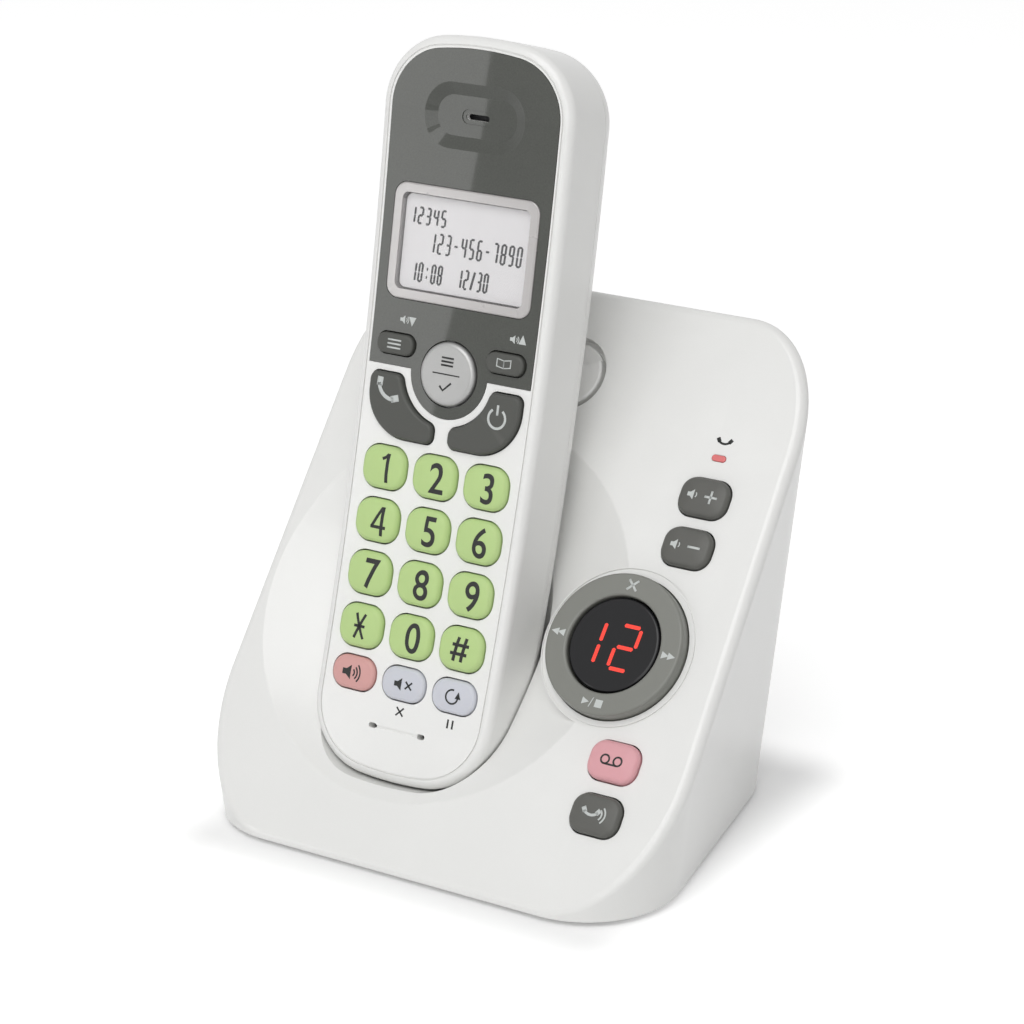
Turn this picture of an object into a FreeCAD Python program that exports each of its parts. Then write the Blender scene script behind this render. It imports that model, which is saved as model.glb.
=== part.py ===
import FreeCAD, Part
import math
import os
import Sketcher

# A cordless telephone: a handset that stands in the cradle of a sloping answering base.
# Lengths are in millimetres and angles in degrees. X points right, Y back, Z up, and the
# origin is the centre of the base's footprint on the table.

SIZES = [
    ("base_width", 119.5, "widest part of the sloping face"),
    ("base_back_width", 115.5, "face width at its top edge"),
    ("base_depth", 87.5, "front edge to upright back"),
    ("base_front_height", 2.4, "front edge of the face above the table"),
    ("face_slope", 51, "face above the table"),
    ("side_draft", 8, "lean of the side walls"),
    ("front_corner", 20, "plan radius at the front corners"),
    ("back_corner_low", 18, "plan radius at the back corners, at the foot"),
    ("back_corner_high", 24, "plan radius at the back corners, at the top"),
    ("base_wall", 2.2, "wall of the base mouldings"),
    ("face_edge", 2, "rounding of the face's rim"),
    ("foot_height", 1.2, "rubber feet"),
    ("foot_radius", 4.5, "rubber feet"),
    ("front_foot_across", 26, "front feet from the middle"),
    ("front_foot_inset", 8, "front feet from the front edge"),
    ("back_foot_across", 24, "back feet from the middle"),
    ("back_foot_inset", 12, "back feet from the upright back"),
    ("cover_gap", 0.25, "gap round the bottom cover"),
    ("back_panel_width", 44, "upright part of the bottom cover"),
    ("back_panel_height", 84, "upright part of the bottom cover"),
    ("base_corner_reach", 6, "floor joined to the back panel over this length"),
    ("boss_radius", 3.6, "screw bosses of the base"),
    ("front_boss_side", 22, "front case screws from the side"),
    ("front_boss_inset", 8.5, "front case screws from the front edge"),
    ("back_boss_across", 14, "back case screws from the middle"),
    ("back_boss_drop", 6, "back case screws below the back panel's top"),
    ("screw_radius", 1.3, "thread of the case screws"),
    ("screw_head_radius", 2.7, "head of the case screws"),
    ("screw_head_height", 1.4, "head of the case screws"),
    ("screw_length", 6, "case screws under the head"),
    ("cradle_side_step", 11.5, "handset axis to the left of the base's centre"),
    ("dish_up_slope", 57.8, "dish centre from the face's front edge"),
    ("dish_radius", 43.2, "bowl rim at the face, inside its rolled lip"),
    ("dish_depth", 10, "bowl below the face"),
    ("dish_lip", 1.2, "rolled lip of the bowl"),
    ("island_across", 44.5, "ring centre from the handset axis"),
    ("island_radius", 18, "flat seat round the ring button"),
    ("island_skirt", 0.9, "wall of the ring button's well"),
    ("groove_width", 0.5, "fine line round the ring button"),
    ("groove_depth", 0.35, "fine line round the ring button"),
    ("handset_length", 160, "foot to head"),
    ("head_width", 47.6, "across the head"),
    ("waist_width", 46, "across the keys"),
    ("foot_width", 45, "across the foot"),
    ("handset_thickness", 22.8, "face to back"),
    ("face_radius", 760, "lengthwise curve of the handset"),
    ("level_station", 57, "where the curved face runs along the handset axis"),
    ("end_crown", 3.2, "rise of the curved ends"),
    ("head_corner", 15.5, "corner radius of the head"),
    ("foot_corner", 16, "corner radius of the foot"),
    ("front_round", 2.2, "rounding of the handset's front edge"),
    ("back_round", 10, "rounding of the handset's back edge"),
    ("shell_wall", 2, "sides and back of the handset mouldings"),
    ("front_wall", 2.6, "face of the handset's front moulding"),
    ("parting_depth", 14, "joint line below the face"),
    ("handset_tilt", 22, "handset above the base's face"),
    ("seat_down_slope", 38.9, "handset foot below the dish centre, along the face"),
    ("seat_depth", 5.1, "handset foot below the face"),
    ("cradle_gap", 0.45, "room round the handset in the cradle"),
    ("panel_thickness", 1.5, "dark face panel"),
    ("panel_inset", 2.85, "panel edge from the shell's edge"),
    ("seam_inset", 2, "fine line round the handset's face, from its edge"),
    ("seam_width", 0.35, "fine line round the handset's face"),
    ("seam_depth", 0.35, "fine line round the handset's face"),
    ("panel_low_station", 88.6, "lower edge of the panel"),
    ("fit_gap", 0.1, "gap between pieces that don't move"),
    ("key_gap", 0.3, "gap round every key"),
    ("key_pitch_across", 12.9, "digit keys"),
    ("key_pitch_along", 11.57, "digit keys"),
    ("key_five_station", 55, "centre of the key 5"),
    ("key_width", 10.9, "digit keys"),
    ("key_height", 9.3, "digit keys"),
    ("key_corner", 3.7, "digit keys"),
    ("key_rise", 1.7, "digit keys above the face"),
    ("key_edge", 1.1, "rounding of the key caps"),
    ("key_travel", 0.8, "handset keys"),
    ("flange_width", 0.6, "retaining flange of a key"),
    ("flange_thickness", 0.8, "retaining flange of a key"),
    ("stem_radius", 2.1, "stem under a key"),
    ("stem_length", 1, "stem under a key's flange"),
    ("small_key_station", 21.6, "row of three oval keys"),
    ("small_key_width", 10.9, "oval keys"),
    ("small_key_height", 7.2, "oval keys"),
    ("menu_station", 88.8, "centre of the round key"),
    ("menu_radius", 6.9, "round key"),
    ("collar_radius", 9.6, "panel round the round key"),
    ("soft_station", 93.2, "pair of soft keys"),
    ("soft_offset", 13.9, "pair of soft keys from the axis"),
    ("soft_width", 9.3, "soft keys"),
    ("soft_height", 4.5, "soft keys"),
    ("call_low_station", 73.2, "lower edge of the call keys"),
    ("call_high_station", 86.9, "upper edge of the call keys"),
    ("call_inner", 2, "call keys from the axis"),
    ("call_outer", 19.1, "call keys from the axis"),
    ("call_hollow", 11.5, "call keys round the round key"),
    ("call_sweep", 10, "large lower corner of the call keys"),
    ("call_corner", 2, "small corners of the call keys"),
    ("screen_station", 115.4, "centre of the display"),
    ("screen_width", 36.4, "display frame"),
    ("screen_height", 24.9, "display frame"),
    ("screen_corner", 3, "display frame"),
    ("screen_border", 2.1, "display frame"),
    ("screen_rise", 0.4, "display frame above the panel"),
    ("window_thickness", 0.8, "clear window"),
    ("window_sink", 0.1, "clear window below the face"),
    ("module_thickness", 3, "display module"),
    ("ear_station", 143, "earpiece slot"),
    ("ear_slot_length", 5.8, "earpiece slot"),
    ("ear_slot_width", 1.3, "earpiece slot"),
    ("ear_pill_border", 0.9, "shallow step round the earpiece slot"),
    ("ear_pill_depth", 0.2, "shallow step round the earpiece slot"),
    ("ear_dish_width", 24.5, "shallow dish round the earpiece slot"),
    ("ear_dish_height", 13.4, "shallow dish round the earpiece slot"),
    ("ear_dish_corner", 6.4, "shallow dish round the earpiece slot"),
    ("ear_dish_run", 2.4, "sloping side of the dish"),
    ("ear_dish_depth", 1.05, "shallow dish round the earpiece slot"),
    ("ear_speaker_radius", 9.5, "earpiece"),
    ("ear_speaker_thickness", 3.6, "earpiece"),
    ("mic_station", 11.4, "microphone holes"),
    ("mic_spread", 6.2, "microphone holes from the axis"),
    ("mic_hole_length", 2, "microphone holes"),
    ("mic_hole_width", 1.1, "microphone holes"),
    ("mic_radius", 3, "microphone capsule"),
    ("mic_thickness", 2.4, "microphone capsule"),
    ("board_station", 56, "centre of the handset board"),
    ("board_width", 38.6, "handset board"),
    ("board_length", 90, "handset board"),
    ("board_thickness", 1, "handset board"),
    ("board_depth", 7.2, "top of the handset board below the face"),
    ("mat_thickness", 1, "rubber key mat"),
    ("mat_width", 34, "rubber key mat"),
    ("mat_length", 80, "rubber key mat"),
    ("stem_inset", 4.5, "call key stem above the key's lower edge"),
    ("dome_radius", 2.6, "domes of the key mat"),
    ("post_radius", 1.4, "posts that carry the boards"),
    ("peg_side_inset", 5.3, "posts from the handset board's sides"),
    ("peg_end_inset", 3, "posts from the handset board's ends"),
    ("cell_radius", 5, "each cell of the battery pack"),
    ("cell_length", 44.5, "battery pack"),
    ("cell_depth", 14.9, "axis of the cells below the face"),
    ("pack_low_station", 12.75, "lower end of the battery pack"),
    ("tray_wall", 1.2, "battery tray"),
    ("tray_gap", 0.7, "room round the battery pack"),
    ("door_width", 27, "battery door"),
    ("door_low_station", 10.4, "lower edge of the battery door"),
    ("door_margin", 2.45, "battery door beyond the upper end of the battery tray"),
    ("door_thickness", 1.2, "battery door"),
    ("door_travel", 3, "slide that frees the battery door"),
    ("loud_station", 113, "hands-free speaker"),
    ("loud_radius", 10, "hands-free speaker"),
    ("loud_rim", 2.4, "hands-free speaker"),
    ("loud_thickness", 6, "hands-free speaker with its magnet"),
    ("rear_slot_length", 13, "middle slot of the rear grille"),
    ("rear_slot_width", 1.4, "slots of the rear grille"),
    ("rear_slot_pitch", 3.4, "slots of the rear grille"),
    ("head_screw_station", 135.5, "screws at the head"),
    ("head_screw_offset", 15.5, "screws at the head from the axis"),
    ("head_boss_radius", 2.6, "bosses for the head screws"),
    ("head_screw_radius", 1, "thread of the head screws"),
    ("head_screw_sink", 4, "head screws below the back"),
    ("contact_offset", 6.6, "charging contacts from the axis"),
    ("contact_depth", 6, "charging contacts below the handset's axis"),
    ("contact_width", 3.6, "charging contacts"),
    ("contact_height", 6, "charging contacts"),
    ("contact_thickness", 3, "charging contacts"),
    ("contact_recess", 0.75, "charging contacts from the foot's crest"),
    ("spring_width", 3, "charging springs"),
    ("spring_bend", 1.2, "bend at the top of the charging springs"),
    ("spring_strip", 0.4, "metal of the charging springs"),
    ("spring_gap", 0.2, "charging springs below the contacts"),
    ("button_across", 52.5, "column of base buttons from the handset axis"),
    ("button_width", 11.5, "base buttons"),
    ("button_height", 8.6, "base buttons"),
    ("button_corner", 3.3, "base buttons"),
    ("button_rise", 1.8, "base buttons above the face"),
    ("button_travel", 0.6, "base buttons"),
    ("volume_up_station", 35.6, "volume up button"),
    ("volume_down_station", 24.2, "volume down button"),
    ("answer_station", -23.9, "answer button"),
    ("find_station", -35.6, "handset locator button"),
    ("light_station", 44.9, "in-use light"),
    ("light_width", 3.3, "in-use light"),
    ("light_height", 1.4, "in-use light"),
    ("light_rise", 0.25, "in-use light above the face"),
    ("ring_outer_radius", 15.8, "ring button"),
    ("ring_inner_radius", 10.8, "ring button"),
    ("ring_flange_reach", 0.8, "retaining flange of the ring button"),
    ("ring_edge", 0.6, "rounding of the ring button"),
    ("ring_rise", 3, "ring button above the face"),
    ("lens_radius", 10.5, "dark lens over the digits"),
    ("lens_thickness", 1.8, "dark lens over the digits"),
    ("lens_rise", 2.5, "lens above the face"),
    ("switch_width", 5.4, "switches on the base board"),
    ("base_board_depth", 9.5, "base board below the face"),
    ("base_board_thickness", 1.6, "base board"),
    ("base_board_near", 29.5, "base board's near edge from the handset axis"),
    ("base_board_far", 60, "base board's far edge from the handset axis"),
    ("base_board_low", -41, "base board's lower end from the dish centre"),
    ("base_board_high", 46.5, "base board's upper end from the dish centre"),
    ("board_post_side", 2.5, "posts from the base board's near edge"),
    ("board_post_end", 3, "posts from the base board's ends"),
    ("ring_post_reach", 27.5, "posts above and below the ring's centre"),
    ("ring_post_step", 2.5, "posts beside the ring's centre line"),
    ("hook_station", 57.6, "wall hook from the dish centre"),
    ("hook_length", 36.4, "wall hook"),
    ("hook_height", 14.8, "wall hook"),
    ("hook_slot", 1.2, "open slot round the wall hook"),
    ("hook_thickness", 2.7, "wall hook"),
    ("hook_edge", 0.6, "rounding of the wall hook"),
    ("hook_dip", 5, "finger dip in the wall hook"),
    ("speaker_radius", 15, "base speaker"),
    ("speaker_rim", 3, "base speaker's basket"),
    ("speaker_thickness", 8, "base speaker with its magnet"),
    ("grille_slot_length", 22, "middle slot of the base grille"),
    ("grille_slot_width", 1.6, "slots of the base grille"),
    ("grille_pitch", 4.6, "slots of the base grille"),
    ("speaker_height", 46, "base speaker above the table"),
    ("keyhole_pitch", 60.3, "wall plate studs"),
    ("keyhole_low", 15.5, "lower wall stud above the table"),
    ("keyhole_entry_radius", 4.6, "keyhole entry"),
    ("keyhole_slot_radius", 2.3, "keyhole slot"),
    ("keyhole_drop", 7, "entry below the slot's end"),
    ("socket_width", 10, "sockets in the back"),
    ("socket_height", 7, "sockets in the back"),
    ("socket_depth", 10, "sockets in the back"),
    ("socket_wall", 1.5, "sockets in the back"),
    ("socket_offset", 12.5, "sockets from the centre"),
    ("pin_radius", 0.9, "pin of the power socket"),
    ("contact_lane", 1.8, "contacts of the line socket"),
    ("socket_level", 10, "sockets above the table"),
]

doc = FreeCAD.newDocument("cordless_phone")
sheet = doc.addObject("Spreadsheet::Sheet", "sizes")
for row, (alias, value, meaning) in enumerate(SIZES, start=1):
    sheet.set("A%d" % row, meaning)
    sheet.set("B%d" % row, str(value))
    sheet.setAlias("B%d" % row, alias)
doc.recompute()


def size(alias):
    return float(sheet.get(alias))


# Frames of the base and of the handset

X_AXIS = FreeCAD.Vector(1, 0, 0)
Y_AXIS = FreeCAD.Vector(0, 1, 0)
Z_AXIS = FreeCAD.Vector(0, 0, 1)
REACH = 300


def vec(across, along, up):
    return FreeCAD.Vector(across, along, up)


def tilted(origin, angle):
    return FreeCAD.Placement(origin, FreeCAD.Rotation(X_AXIS, angle))


HOME = FreeCAD.Placement()
slope = math.radians(size("face_slope"))
face_front = vec(-size("cradle_side_step"), -size("base_depth") / 2, size("base_front_height"))
up_slope = vec(0, math.cos(slope), math.sin(slope))
FACE = tilted(face_front + up_slope * size("dish_up_slope"), size("face_slope"))
HANDSET = FACE * tilted(vec(0, -size("seat_down_slope"), -size("seat_depth")), size("handset_tilt"))


def face_height(along, depth=0):
    """Height of the handset's curved surface, a given depth below its face."""
    reach = along - size("level_station")
    radius = size("face_radius")
    return radius - math.sqrt((radius + depth) ** 2 - reach ** 2)


def on_handset(across, along):
    """Frame that lies on the handset's face, its Z along the face's normal."""
    angle = math.degrees(math.asin((along - size("level_station")) / size("face_radius")))
    return tilted(vec(across, along, face_height(along)), angle)


# Solids that both the pieces and their openings are cut from

def prism(wire, low, high):
    """Solid over a closed wire that was drawn at height zero."""
    base = Part.Face(wire)
    base.translate(vec(0, 0, low))
    return base.extrude(vec(0, 0, high - low))


def upright(edge):
    if len(edge.Vertexes) < 2:
        return False
    first = edge.Vertexes[0].Point
    last = edge.Vertexes[-1].Point
    return math.hypot(first.x - last.x, first.y - last.y) < 1e-6


def block(wide, tall, low, high, corner=0.0, across=0.0, along=0.0):
    """Box centred on its own axis, its upright edges rounded."""
    solid = Part.makeBox(wide, tall, high - low, vec(across - wide / 2, along - tall / 2, low))
    if corner > 0:
        solid = solid.makeFillet(corner, [edge for edge in solid.Edges if upright(edge)])
    return solid


def rod(radius, low, high, across=0.0, along=0.0):
    return Part.makeCylinder(radius, high - low, vec(across, along, low), Z_AXIS)


def moved(solid, placement):
    copy = solid.copy()
    copy.Placement = placement * copy.Placement
    return copy


def spun(points, placement=HOME):
    """Solid turned about Z from a profile of (radius, height) points and arcs of three."""
    edges = []
    start = points[0]
    for step in points[1:] + [points[0]]:
        if len(step) == 2:
            edges.append(Part.LineSegment(vec(start[0], 0, start[1]), vec(step[0], 0, step[1])).toShape())
            start = step
        else:
            middle = vec(step[0], 0, step[1])
            end = vec(step[2], 0, step[3])
            edges.append(Part.Arc(vec(start[0], 0, start[1]), middle, end).toShape())
            start = (step[2], step[3])
    solid = Part.Face(Part.Wire(edges)).revolve(vec(0, 0, 0), Z_AXIS, 360)
    return moved(solid, placement)


def fused(solids):
    whole = solids[0].multiFuse(solids[1:]) if len(solids) > 1 else solids[0]
    return whole.removeSplitter()


def rounded_wire(corners, height):
    """Closed wire through (x, y, radius) corners, each rounded by an arc."""
    count = len(corners)
    trims = []
    for index, (across, along, radius) in enumerate(corners):
        here = vec(across, along, height)
        before = vec(corners[index - 1][0], corners[index - 1][1], height)
        after = vec(corners[(index + 1) % count][0], corners[(index + 1) % count][1], height)
        to_before = (before - here).normalize()
        to_after = (after - here).normalize()
        half_turn = to_before.getAngle(to_after) / 2
        trim = radius / math.tan(half_turn)
        bisector = (to_before + to_after).normalize()
        crest = here + bisector * (radius / math.sin(half_turn) - radius)
        trims.append((here + to_before * trim, crest, here + to_after * trim))
    edges = []
    for index, (start, crest, end) in enumerate(trims):
        edges.append(Part.Arc(start, crest, end).toShape())
        edges.append(Part.LineSegment(end, trims[(index + 1) % count][0]).toShape())
    return Part.Wire(edges)


# Sub-parts as objects of the document

PARTS = []


def keep(piece, label, placement=HOME):
    piece.Label = label
    piece.Placement = placement
    PARTS.append(piece)
    return piece


def feature(label, shape, placement=HOME):
    piece = doc.addObject("Part::Feature", label)
    piece.Shape = shape
    return keep(piece, label, placement)


def bind(item, formulas):
    for name, formula in formulas.items():
        item.setExpression(name, formula)
    return item


def box_object(name, wide, tall, high, low="0", across="0", along="0"):
    """Part box centred on its own axis, every size a formula of the sheet."""
    box = doc.addObject("Part::Box", name)
    return bind(box, {
        "Length": wide,
        "Width": tall,
        "Height": high,
        "Placement.Base.x": "%s - (%s) / 2" % (across, wide),
        "Placement.Base.y": "%s - (%s) / 2" % (along, tall),
        "Placement.Base.z": low,
    })


def rod_object(name, radius, high, low="0", across="0", along="0"):
    cylinder = doc.addObject("Part::Cylinder", name)
    return bind(cylinder, {
        "Radius": radius,
        "Height": high,
        "Placement.Base.x": across,
        "Placement.Base.y": along,
        "Placement.Base.z": low,
    })


def cut_object(name, base, tool):
    cut = doc.addObject("Part::Cut", name)
    cut.Base = base
    cut.Tool = tool
    return cut


def fuse_object(name, solids):
    fuse = doc.addObject("Part::MultiFuse", name)
    fuse.Shapes = solids
    fuse.Refine = True
    return fuse


def rounded_object(name, base, radius, chosen):
    """Part fillet on the edges of a base object that a test chooses."""
    doc.recompute()
    fillet = doc.addObject("Part::Fillet", name)
    fillet.Base = base
    numbers = [index for index, edge in enumerate(base.Shape.Edges, start=1) if chosen(edge)]
    fillet.Edges = [(number, radius, radius) for number in numbers]
    return fillet


def new_body(name):
    body = doc.addObject("PartDesign::Body", name)
    return body


def plane_of(body, role):
    for item in body.Origin.OriginFeatures:
        if item.Role == role:
            return item


def new_sketch(body, name, level="0", role="XY_Plane"):
    sketch = body.newObject("Sketcher::SketchObject", name)
    sketch.AttachmentSupport = [(plane_of(body, role), "")]
    sketch.MapMode = "FlatFace"
    sketch.setExpression("AttachmentOffset.Base.z", level)
    return sketch


def named_size(sketch, kind, places, start, label, formula):
    number = sketch.addConstraint(Sketcher.Constraint(kind, *places, start))
    sketch.renameConstraint(number, label)
    sketch.setExpression("Constraints." + label, formula)


def draw_rectangle(sketch, wide, tall):
    """Rectangle about the sketch's origin."""
    corners = [vec(-5, -4, 0), vec(5, -4, 0), vec(5, 4, 0), vec(-5, 4, 0)]
    for index in range(4):
        sketch.addGeometry(Part.LineSegment(corners[index], corners[(index + 1) % 4]), False)
    for index in range(4):
        sketch.addConstraint(Sketcher.Constraint("Coincident", index, 2, (index + 1) % 4, 1))
    for index in (0, 2):
        sketch.addConstraint(Sketcher.Constraint("Horizontal", index))
        sketch.addConstraint(Sketcher.Constraint("Vertical", index + 1))
    sketch.addConstraint(Sketcher.Constraint("Symmetric", 0, 1, 2, 1, -1, 1))
    named_size(sketch, "DistanceX", (0, 1, 0, 2), 10, "wide", wide)
    named_size(sketch, "DistanceY", (1, 1, 1, 2), 8, "tall", tall)


def draw_circle(sketch, radius):
    index = sketch.addGeometry(Part.Circle(vec(0, 0, 0), Z_AXIS, 3), False)
    sketch.addConstraint(Sketcher.Constraint("Coincident", index, 3, -1, 1))
    named_size(sketch, "Radius", (index,), 3, "radius", radius)


def pad_sketch(body, sketch, name, high):
    pad = body.newObject("PartDesign::Pad", name)
    pad.Profile = sketch
    pad.setExpression("Length", high)
    return pad


def round_edges(body, name, base, radius, chosen):
    """Fillet on the edges of a pad that a test chooses."""
    doc.recompute()
    names = ["Edge%d" % (index + 1) for index, edge in enumerate(base.Shape.Edges) if chosen(edge)]
    fillet = body.newObject("PartDesign::Fillet", name)
    fillet.Base = (base, names)
    fillet.setExpression("Radius", radius)
    return fillet


def plain_pad(label, placement, draw, sizes, low, high):
    """Body of one pad over a drawn outline."""
    body = new_body(label)
    sketch = new_sketch(body, label + "_outline", low)
    draw(sketch, *sizes)
    pad_sketch(body, sketch, label + "_pad", high)
    return keep(body, label, placement)


def level_at(height):
    """Test for edges that lie at one height."""
    def chosen(edge):
        return all(abs(vertex.Point.z - height) < 1e-4 for vertex in edge.Vertexes)
    return chosen


def moulded_key(label, placement, outline, rise, wall, edge_round, flange):
    """Key cap that passes through a wall, held by a flange under it, with a stem below."""
    body = new_body(label)
    cap = new_sketch(body, label + "_cap", "-(%s) - sizes.fit_gap" % wall)
    outline(cap, "0")
    pad = pad_sketch(body, cap, label + "_cap_pad", "%s + %s + sizes.fit_gap" % (wall, rise))
    top = pad
    if outline is not round_outline:
        corner = "sizes.key_corner" if outline is digit_outline else OUTLINE_CORNERS[outline]
        top = round_edges(body, label + "_corners", pad, corner, upright)
    doc.recompute()
    crest = top.Shape.BoundBox.ZMax
    top = round_edges(body, label + "_edge", top, edge_round, level_at(crest))
    skirt = new_sketch(body, label + "_skirt", "-(%s) - sizes.fit_gap - sizes.flange_thickness" % wall)
    outline(skirt, "2 * (%s)" % flange)
    pad_sketch(body, skirt, label + "_skirt_pad", "sizes.flange_thickness")
    stem_level = "-(%s) - sizes.fit_gap - sizes.flange_thickness - sizes.stem_length" % wall
    stem = new_sketch(body, label + "_stem", stem_level)
    draw_circle(stem, "sizes.stem_radius")
    pad_sketch(body, stem, label + "_stem_pad", "sizes.stem_length")
    return keep(body, label, placement)


def digit_outline(sketch, extra):
    draw_rectangle(sketch, "sizes.key_width + %s" % extra, "sizes.key_height + %s" % extra)


def small_outline(sketch, extra):
    draw_rectangle(sketch, "sizes.small_key_width + %s" % extra, "sizes.small_key_height + %s" % extra)


def soft_outline(sketch, extra):
    draw_rectangle(sketch, "sizes.soft_width + %s" % extra, "sizes.soft_height + %s" % extra)


def button_outline(sketch, extra):
    draw_rectangle(sketch, "sizes.button_width + %s" % extra, "sizes.button_height + %s" % extra)


def light_outline(sketch, extra):
    draw_rectangle(sketch, "sizes.light_width + %s" % extra, "sizes.light_height + %s" % extra)


def round_outline(sketch, extra):
    draw_circle(sketch, "sizes.menu_radius + (%s) / 2" % extra)


OUTLINE_CORNERS = {
    small_outline: "sizes.small_key_height * 0.47",
    soft_outline: "sizes.soft_height * 0.45",
    button_outline: "sizes.button_corner",
    light_outline: "sizes.light_height * 0.47",
}


# Base mouldings

def face_limit(depth):
    """Everything that lies deeper than a given depth under the base's face."""
    return moved(block(2 * REACH, 2 * REACH, -REACH, -depth), FACE)


def base_outline(height, inset):
    """Plan of the base at one height, drawn in from its outside."""
    lean = math.tan(math.radians(size("side_draft")))
    depth = size("base_depth")
    crest = size("base_front_height") + depth * math.tan(slope)
    front_half = size("base_width") / 2 + (height - size("base_front_height")) * lean - inset
    back_half = size("base_back_width") / 2 + (height - crest) * lean - inset
    climb = (height - size("foot_height")) / (crest - size("foot_height"))
    spread = size("back_corner_high") - size("back_corner_low")
    back_corner = size("back_corner_low") + climb * spread - inset
    front_corner = size("front_corner") - inset
    end = depth / 2 - inset
    return rounded_wire([
        (-front_half, -end, front_corner),
        (front_half, -end, front_corner),
        (back_half, end, back_corner),
        (-back_half, end, back_corner),
    ], height)


def base_solid(inset, low):
    crest = size("base_front_height") + size("base_depth") * math.tan(slope)
    high = crest + size("base_wall")
    return Part.makeLoft([base_outline(low, inset), base_outline(high, inset)], True, True)


def on_face(edge):
    below = FACE.inverse()
    return all(abs((below * vertex.Point).z) < 1e-4 for vertex in edge.Vertexes)


FOOT = size("foot_height")
THICK = size("handset_thickness")
WALL = size("base_wall")
GAP = size("fit_gap")
base_form = base_solid(0, FOOT).common(face_limit(0))
base_form = base_form.makeFillet(size("face_edge"), [edge for edge in base_form.Edges if on_face(edge)])
base_hollow = base_solid(WALL, FOOT).common(face_limit(WALL))

lip = size("dish_lip")
lip_reach = size("dish_radius") + lip
ball = (lip_reach ** 2 + size("dish_depth") ** 2) / (2 * size("dish_depth")) - lip
ball_height = ball - size("dish_depth")
ball_share = ball / (ball + lip)
bowl_edge = (lip_reach * ball_share, ball_height - (ball_height + lip) * ball_share)
bowl_swing = math.atan2(lip_reach, ball_height + lip)
bowl_middle = (ball * math.sin(bowl_swing / 2), ball_height - ball * math.cos(bowl_swing / 2))
lip_middle = (lip_reach - lip * math.sin(bowl_swing / 2), -lip + lip * math.cos(bowl_swing / 2))
bowl_space = spun([
    (0, -size("dish_depth")),
    bowl_middle + bowl_edge,
    lip_middle + (lip_reach, 0),
    (lip_reach, size("handset_thickness")),
    (0, size("handset_thickness")),
], FACE)
under_ball = ball + WALL
under_swing = math.acos(ball_height / under_ball)
bowl_wall = spun([
    (0, ball_height - under_ball),
    (under_ball * math.sin(under_swing / 2), ball_height - under_ball * math.cos(under_swing / 2),
     under_ball * math.sin(under_swing), 0),
    (0, 0),
], FACE)


def cradle_space(extra, bottom):
    """Room for the foot half of the handset, open along the way it lifts."""
    half = size("foot_width") / 2 + extra
    low = -extra
    crown = size("end_crown")
    high = REACH - size("handset_length")
    flare = (size("waist_width") - size("foot_width")) / 2 / size("level_station")
    mouth = half + flare * high
    wire = Part.Wire([
        Part.Arc(vec(-half, low + crown, 0), vec(0, low, 0), vec(half, low + crown, 0)).toShape(),
        Part.LineSegment(vec(half, low + crown, 0), vec(mouth, high, 0)).toShape(),
        Part.LineSegment(vec(mouth, high, 0), vec(-mouth, high, 0)).toShape(),
        Part.LineSegment(vec(-mouth, high, 0), vec(-half, low + crown, 0)).toShape(),
    ])
    solid = prism(wire, -bottom, size("handset_thickness"))
    corners = [edge for edge in solid.Edges if upright(edge) and edge.Vertexes[0].Point.y < high / 2]
    solid = solid.makeFillet(size("foot_corner") + extra, corners)
    rim = [edge for edge in solid.Edges
           if level_at(-bottom)(edge) and min(vertex.Point.y for vertex in edge.Vertexes) < high - 1]
    return moved(solid.makeFillet(size("back_round") + extra - size("cradle_gap") - 1, rim), HANDSET)


cradle_gap = size("cradle_gap")
cradle_void = cradle_space(cradle_gap, size("handset_thickness") + cradle_gap)
cradle_wall = cradle_space(cradle_gap + WALL, size("handset_thickness") + cradle_gap + WALL)

ISLAND = FACE * tilted(vec(size("island_across"), 0, 0), 0)
board_top = -size("base_board_depth")
island = moved(rod(size("island_radius"), board_top, 0), ISLAND)
island_hollow = moved(rod(size("island_radius") - size("island_skirt"), 2 * board_top, -WALL), ISLAND)
ring_hole = moved(rod(size("ring_outer_radius") + size("key_gap"), 2 * board_top, THICK), ISLAND)
groove_radius = size("island_radius") - size("island_skirt") / 2
groove = moved(spun([
    (groove_radius - size("groove_width") / 2, -size("groove_depth")),
    (groove_radius + size("groove_width") / 2, -size("groove_depth")),
    (groove_radius + size("groove_width") / 2, 1),
    (groove_radius - size("groove_width") / 2, 1),
]), ISLAND)

hook_room = moved(block(
    size("hook_length") + 2 * size("hook_slot"), size("hook_height") + 2 * size("hook_slot"),
    -size("hook_thickness") - GAP, 1, size("hook_height") / 2 + size("hook_slot") - 0.05,
    0, size("hook_station")), FACE)
hook_floor = moved(block(
    size("hook_length") + 2 * size("hook_slot") + 2 * WALL,
    size("hook_height") + 2 * size("hook_slot") + 2 * WALL,
    -size("hook_thickness") - GAP - WALL, -WALL / 2, size("hook_height") / 2 + size("hook_slot"),
    0, size("hook_station")), FACE)

# Frame on the back: X as before, Y up, Z into the base
BACK = tilted(vec(0, size("base_depth") / 2, 0), 90)
boss_across = size("base_width") / 2 - size("front_boss_side")
boss_along = size("front_boss_inset") - size("base_depth") / 2
FRONT_BOSSES = [(-boss_across, boss_along), (boss_across, boss_along)]
boss_level = size("back_panel_height") - size("back_boss_drop")
BACK_BOSSES = [(-size("back_boss_across"), boss_level), (size("back_boss_across"), boss_level)]
post_across = size("base_board_near") + size("board_post_side")
ring_post_across = size("island_across") - size("ring_post_step")
BOARD_POSTS = [(post_across, size("base_board_high") - size("board_post_end")),
               (post_across, size("base_board_low") + size("board_post_end")),
               (ring_post_across, size("ring_post_reach")),
               (ring_post_across, -size("ring_post_reach"))]
floor_top = FOOT + WALL
bosses = [rod(size("boss_radius"), floor_top, REACH / 4, x, y) for x, y in FRONT_BOSSES]
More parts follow.
